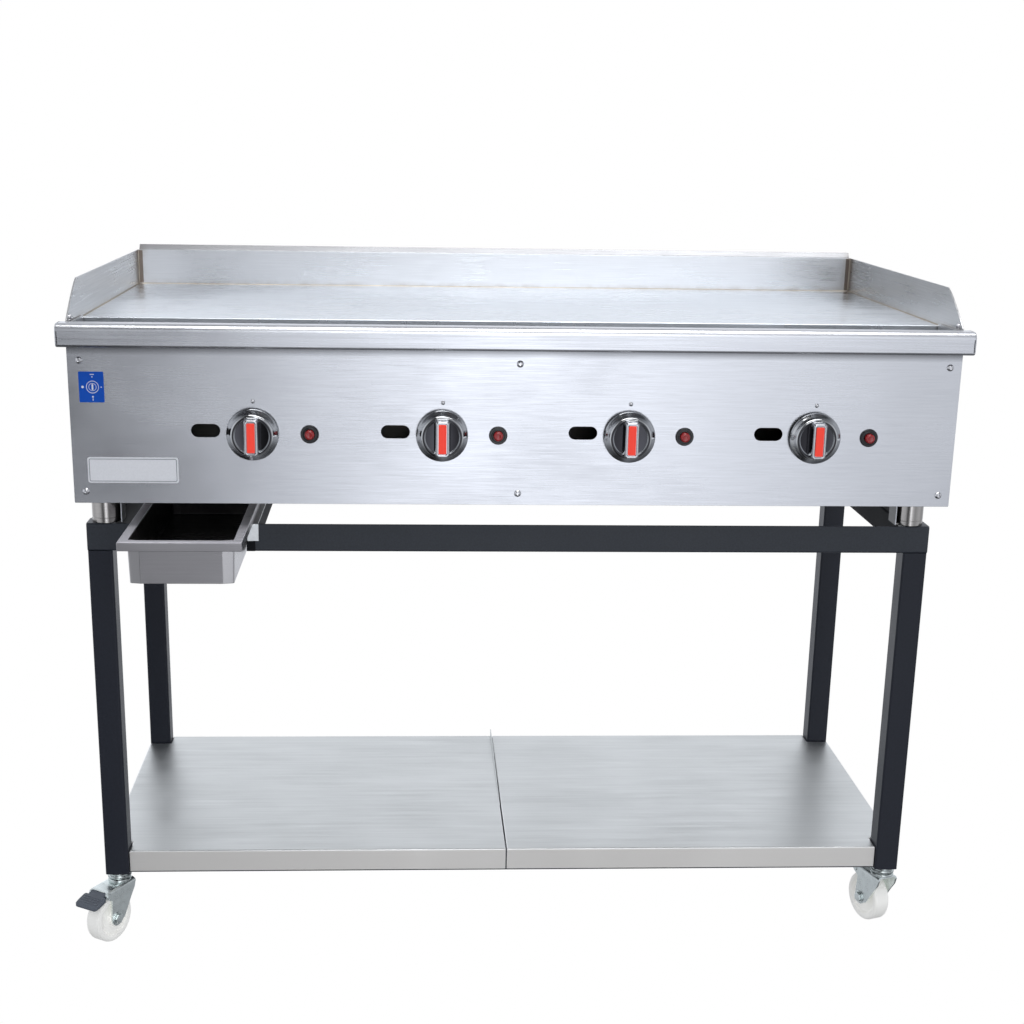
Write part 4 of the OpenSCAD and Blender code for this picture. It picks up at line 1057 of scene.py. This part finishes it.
def fork_shape(braked):
    """Pressed fork: crown and two cheeks bent from one sheet, the race above it."""
    crown = fork_top - 5
    outer = fork_in + fork_t / 2
    u = bmesh.new()
    sheet(u, [(-outer, 20), (-outer, crown), (outer, crown), (outer, 20)], fork_t, -30, 62,
        lambda p, q, h: Vector((h, p, q)), (4.5, 4.5), 6, 0)
    outline = [(-13, crown + 6), (-16, crown - 4), (-13, crown - 14), (-4, crown - 27), (12, 34)]
    outline += arc((trail, wheel_r), 11.5, 215, 360, 10) + [(trail + 10, crown - 28), (trail + 9.5, crown - 17)]
    outline += arc(pedal_pivot, 6.2, -50, 90, 6) if braked else [(trail + 4, crown - 6)]
    outline += [(27, crown + 1), (24, crown + 6)]
    cutter = bmesh.new()
    prism(cutter, outline, -25, 25, at_y, 0)
    bm = boolean(u, cutter, "INTERSECT")
    bmesh.ops.remove_doubles(bm, verts=bm.verts, dist=0.01)
    sharp = [e for e in bm.edges if len(e.link_faces) == 2 and e.calc_face_angle(0) > math.radians(50)]
    soften(bm, sharp, 0.45, 2)
    # arch between the cheeks in front, as a lip under the crown
    lathe(bm, (0, 0, 0), (0, 0, 1), [(5.2, fork_top - 6.8), (12, fork_top - 6.8), (15, fork_top - 5.6),
            (17.2, fork_top - 4.4), (17.4, fork_top - 2.4),
            (16.4, fork_top - 1.0), (14, fork_top - 0.5), (5.2, fork_top - 0.5), (5.2, fork_top - 6.8)], 48)
    out = fork_in + fork_t
    # axle bolt, washer and nut
    for s, nut_h in ((-1, 4.0), (1, 5.0)):
        lathe(bm, (trail, s * out, wheel_r), (0, s, 0),
            [(0, -0.2), (9.6, -0.2), (9.6, 0.7), (9.2, 1.0), (0, 1.0)], 36)
        hexagon = [(trail + 7.6 * math.cos(math.radians(60 * k + 12)),
                wheel_r + 7.6 * math.sin(math.radians(60 * k + 12))) for k in range(6)]
        a, b = sorted((s * (out + 1.0), s * (out + nut_h - 0.2)))
        prism(bm, hexagon, a, b, at_y, 0.7)
    lathe(bm, (trail, 0, wheel_r), (0, 1, 0), [(0, -out - 4.6), (4, -out - 4.6), (4.9, -out - 4),
            (4.9, out + 4.4), (4, out + 5), (0, out + 5)], 24)
    if braked:
        lathe(bm, (pedal_pivot[0], 0, pedal_pivot[1]), (0, 1, 0),
            [(0, -out - 1), (3.6, -out - 1), (4.2, -out - 0.4), (4.2, -out + 0.1), (2.4, -out + 0.1),
                (2.4, out - 0.1),
                (4.2, out - 0.1), (4.2, out + 0.4), (3.6, out + 1), (0, out + 1)], 24)
    return bm


def stem_shape():
    """Upper race with its rolled edge, ball gap and kingpin."""
    bm = bmesh.new()
    f = fork_top
    lathe(bm, (0, 0, 0), (0, 0, 1), [
            (0, f - 12), (6, f - 12), (7.6, f - 11.4), (8, f - 10), (8, f - 8.3), (5, f - 8.2), (5, f + 0.2),
            (15.2, f + 0.5), (16.8, f + 0.9), (17.8, f + 2.4),
            (18, f + 4.2), (17.2, f + 5.4), (16.2, f + 6), (16.2, f + 7), (17.4, f + 7.4), (17.6, f + 8.6),
            (16.6, f + 9.8), (0, f + 9.9)], 48)
    return bm


def wheel_shape():
    """Moulded nylon wheel: rounded tread, recessed web, hub, on the Y axis."""
    w, hub, bore = 12.5, fork_in - 0.4, 5.06
    half = [(bore, 0), (bore, hub - 0.5), (bore + 0.5, hub), (9.6, hub), (10.2, hub - 0.5), (10.8, hub - 4.4),
        (12.5, hub - 5.6), (wheel_r - 13.5, hub - 6.2),
        (wheel_r - 12, hub - 5.4), (wheel_r - 10, w - 1.2), (wheel_r - 9, w - 0.4), (wheel_r - 6, w)]
    half += [(wheel_r - 4.5 + 4.5 * math.sin(math.radians(a)),
            w - 4.5 + 4.5 * math.cos(math.radians(a))) for a in (15, 35, 55, 75, 90)]
    prof = half + [(r, -h) for r, h in half[::-1]]
    bm = bmesh.new()
    lathe(bm, (trail, 0, wheel_r), (0, 1, 0), prof, 72)
    return bm


def pedal_shape():
    """Grey foot pedal with ribs, its boss and arm on a pressed bracket."""
    px, pz = pedal_pivot
    bm = bmesh.new()
    rings = []
    for x, half, z0, z1 in ((px + 9.2, 17, -3.6, 1.6), (px + 10.2, 19.8, -4.0, 2.0), (px + 13, 20.8, -4.6, 1.6),
            (px + 26, 21, -7.8, -2.4),
            (px + 31.2, 20.4, -9.2, -4.2), (px + 33.3, 18.4, -9.8, -5.6), (px + 34, 15.5, -9.6, -6.8)):
        rings.append([Vector((x, u, pz + v)) for u, v in round_rect(2 * half, z1 - z0,
                min(1.4, (z1 - z0) * 0.45), 3, (0, (z0 + z1) / 2))])
    grow(bm, rings)
    for dx in (15, 19, 23, 27):
        zt = pz + 1.6 - (dx - 13) * 0.309
        prism(bm, [(px + dx - 0.9, zt - 0.6), (px + dx - 0.5, zt + 0.8), (px + dx + 0.5, zt + 0.8),
                (px + dx + 0.9, zt - 0.8)], -17, 17, at_y, 0.25)
    arm = arc((px, pz), 5.5, 60, 270, 14) + [(px + 12, pz - 4.2), (px + 12, pz + 1.4)]
    hole = circle((px, pz), 2.56, 20)
    for y0, y1 in ((-14, -8.5), (8.5, 14)):
        mid = (y0 + y1) / 2
        merge(bm, pierced("arm", [arm, hole], y1 - y0, 0.5, lambda u, v, t: Vector((u, mid + t, v))))
    prism(bm, [(px - 1, pz + 2.8), (px + 2, pz + 5), (px + 12, pz + 1.6), (px + 12, pz - 3.6), (px + 4, pz - 1),
            (px + 3, pz + 2)], -9, 9, at_y, 0.4)
    return bm


def at_leg(bm, j):
    """Turns a caster shape to its heading and carries it under its leg."""
    swivel = Vector(joints["swivel_" + j]["pos_m"])
    wheel = Vector(joints["wheel_roll_" + j]["pos_m"])
    a = math.atan2(wheel.y - swivel.y, wheel.x - swivel.x)
    bmesh.ops.transform(bm, matrix=Matrix.Translation((swivel.x / MM, swivel.y / MM, 0)) @ Matrix.Rotation(a, 4,
            "Z"), verts=bm.verts)
    return bm


stems = bmesh.new()
for j in ("fl", "fr", "rl", "rr"):
    merge(stems, at_leg(stem_shape(), j))
    braked = j[0] == "f"
    finish_part(at_leg(fork_shape(braked), j), "fork_pressed_" + j, "fork_" + j, M["zinc"],
        ["fork_" + j])
    finish_part(at_leg(wheel_shape(), j), "wheel_nylon_" + j, "wheel_" + j, M["nylon"],
        ["wheel_" + j])
    if braked:
        finish_part(at_leg(pedal_shape(), j), "pedal_ribbed_" + j, "pedal_" + j, M["pedal"],
            ["pedal_" + j])
finish_part(stems, "caster_races", ROOT, M["zinc"], ["caster_stems"])

# ---------- floor, light, camera ----------

def glow(name):
    """An evenly lit white surface, as a sweep is in a product photo."""
    mat = bpy.data.materials.new(name)
    mat.use_nodes = True
    nt = mat.node_tree
    nt.nodes.remove(nt.nodes["Principled BSDF"])
    em = nt.nodes.new("ShaderNodeEmission")
    em.inputs["Color"].default_value = (1, 1, 1, 1)
    nt.links.new(em.outputs[0], nt.nodes["Material Output"].inputs["Surface"])
    return mat


def stage(name, bm):
    """A floor or backdrop; the world below lights the object, so these are only looked at."""
    me = bpy.data.meshes.new(name)
    bm.to_mesh(me)
    bm.free()
    ob = add(name, me)
    me.materials.append(glow("m_" + name))
    ob.visible_diffuse = ob.visible_glossy = ob.visible_transmission = ob.visible_shadow = False


bm = bmesh.new()
bmesh.ops.create_circle(bm, cap_ends=True, radius=14, segments=64)
stage("floor", bm)
bm = bmesh.new()
bmesh.ops.create_uvsphere(bm, u_segments=48, v_segments=24, radius=15)
stage("backdrop", bm)

world = bpy.data.worlds.new("studio")
bpy.context.scene.world = world
world.use_nodes = True
wt = world.node_tree
parts = wt.nodes.new("ShaderNodeSeparateXYZ")
wt.links.new(wt.nodes.new("ShaderNodeTexCoord").outputs["Generated"], parts.inputs[0])


def world_ramp(axis, stops):
    """A grey that follows one component of the direction: stops are (component, value)."""
    span_n = wt.nodes.new("ShaderNodeMapRange")
    span_n.inputs["From Min"].default_value = -1
    span_n.inputs["From Max"].default_value = 1
    wt.links.new(parts.outputs[axis], span_n.inputs[0])
    ramp = wt.nodes.new("ShaderNodeValToRGB")
    wt.links.new(span_n.outputs[0], ramp.inputs[0])
    while len(ramp.color_ramp.elements) < len(stops):
        ramp.color_ramp.elements.new(0.5)
    for e, (c, v) in zip(ramp.color_ramp.elements, stops):
        e.position = (c + 1) / 2
        e.color = (v * 0.985, v, v * 1.03, 1)
    return ramp.outputs[0]


def world_mix(fac, a, b, blend="MIX"):
    n = wt.nodes.new("ShaderNodeMix")
    n.data_type = "RGBA"
    n.blend_type = blend
    for socket, v in zip((n.inputs[0], n.inputs[6], n.inputs[7]), (fac, a, b)):
        if isinstance(v, float):
            socket.default_value = v
        else:
            wt.links.new(v, socket)
    return n.outputs[2]


ahead = world_ramp(0, [(-1, 0.9), (-0.6, 0.7), (-0.46, 0.25), (-0.34, 0.08), (-0.2, 0.16), (-0.12, 0.4),
        (-0.05, 1.1), (0.0, 1.9), (0.06, 2.4), (0.13, 1.7), (0.22, 1.05),
        (0.32, 0.88), (0.42, 0.65), (0.6, 0.5), (1, 0.8)])
behind = world_ramp(0, [(-1, 0.6), (-0.55, 1.1), (-0.3, 1.2), (-0.1, 1.0), (0.3, 1.0), (0.55, 0.8), (1, 0.5)])
height = world_ramp(2, [(-1, 0.1), (-0.6, 0.25), (-0.32, 0.8), (-0.1, 1.0), (0.4, 1.0), (0.65, 0.6), (1, 0.4)])
side = world_ramp(1, [(-0.2, 0.0), (0.2, 1.0)])
around = world_mix(side, ahead, behind)
wt.links.new(world_mix(1.0, around, height, "MULTIPLY"), wt.nodes["Background"].inputs["Color"])


def soft(name, place, aim, size, power):
    la = bpy.data.lights.new(name, "AREA")
    la.shape = "RECTANGLE"
    la.size, la.size_y = size
    la.energy = power
    ob = add(name, la)
    ob.location = place
    ob.rotation_euler = (Vector(aim) - Vector(place)).to_track_quat("-Z", "Y").to_euler()


soft("top", (0.2, -0.6, 3.2), (0, 0, 0.7), (2.4, 1.2), 45)
soft("fill", (0.2, -3.4, 2.4), (0, 0, 0.4), (1.2, 0.8), 8)

yaw, pitch, roll = 0.0509, 0.2829, 0.0161
cam = bpy.data.cameras.new("camera")
cam.sensor_width = 36
cam.lens = 56.34
cam.shift_x = 0.0244
cam.shift_y = 0.0804
co = add("camera", cam)
forward = Vector((math.sin(yaw) * math.cos(pitch), math.cos(yaw) * math.cos(pitch), -math.sin(pitch)))
right = Vector((math.cos(yaw), -math.sin(yaw), 0))
up = right.cross(forward)
across = right * math.cos(roll) + up * math.sin(roll)
upward = up * math.cos(roll) - right * math.sin(roll)
pose = Matrix((across, upward, -forward)).transposed().to_4x4()
pose.translation = Vector((-0.1487, -2.4122, 1.1859))
co.matrix_world = pose
bpy.context.scene.camera = co
bpy.context.scene.view_settings.view_transform = "Standard"
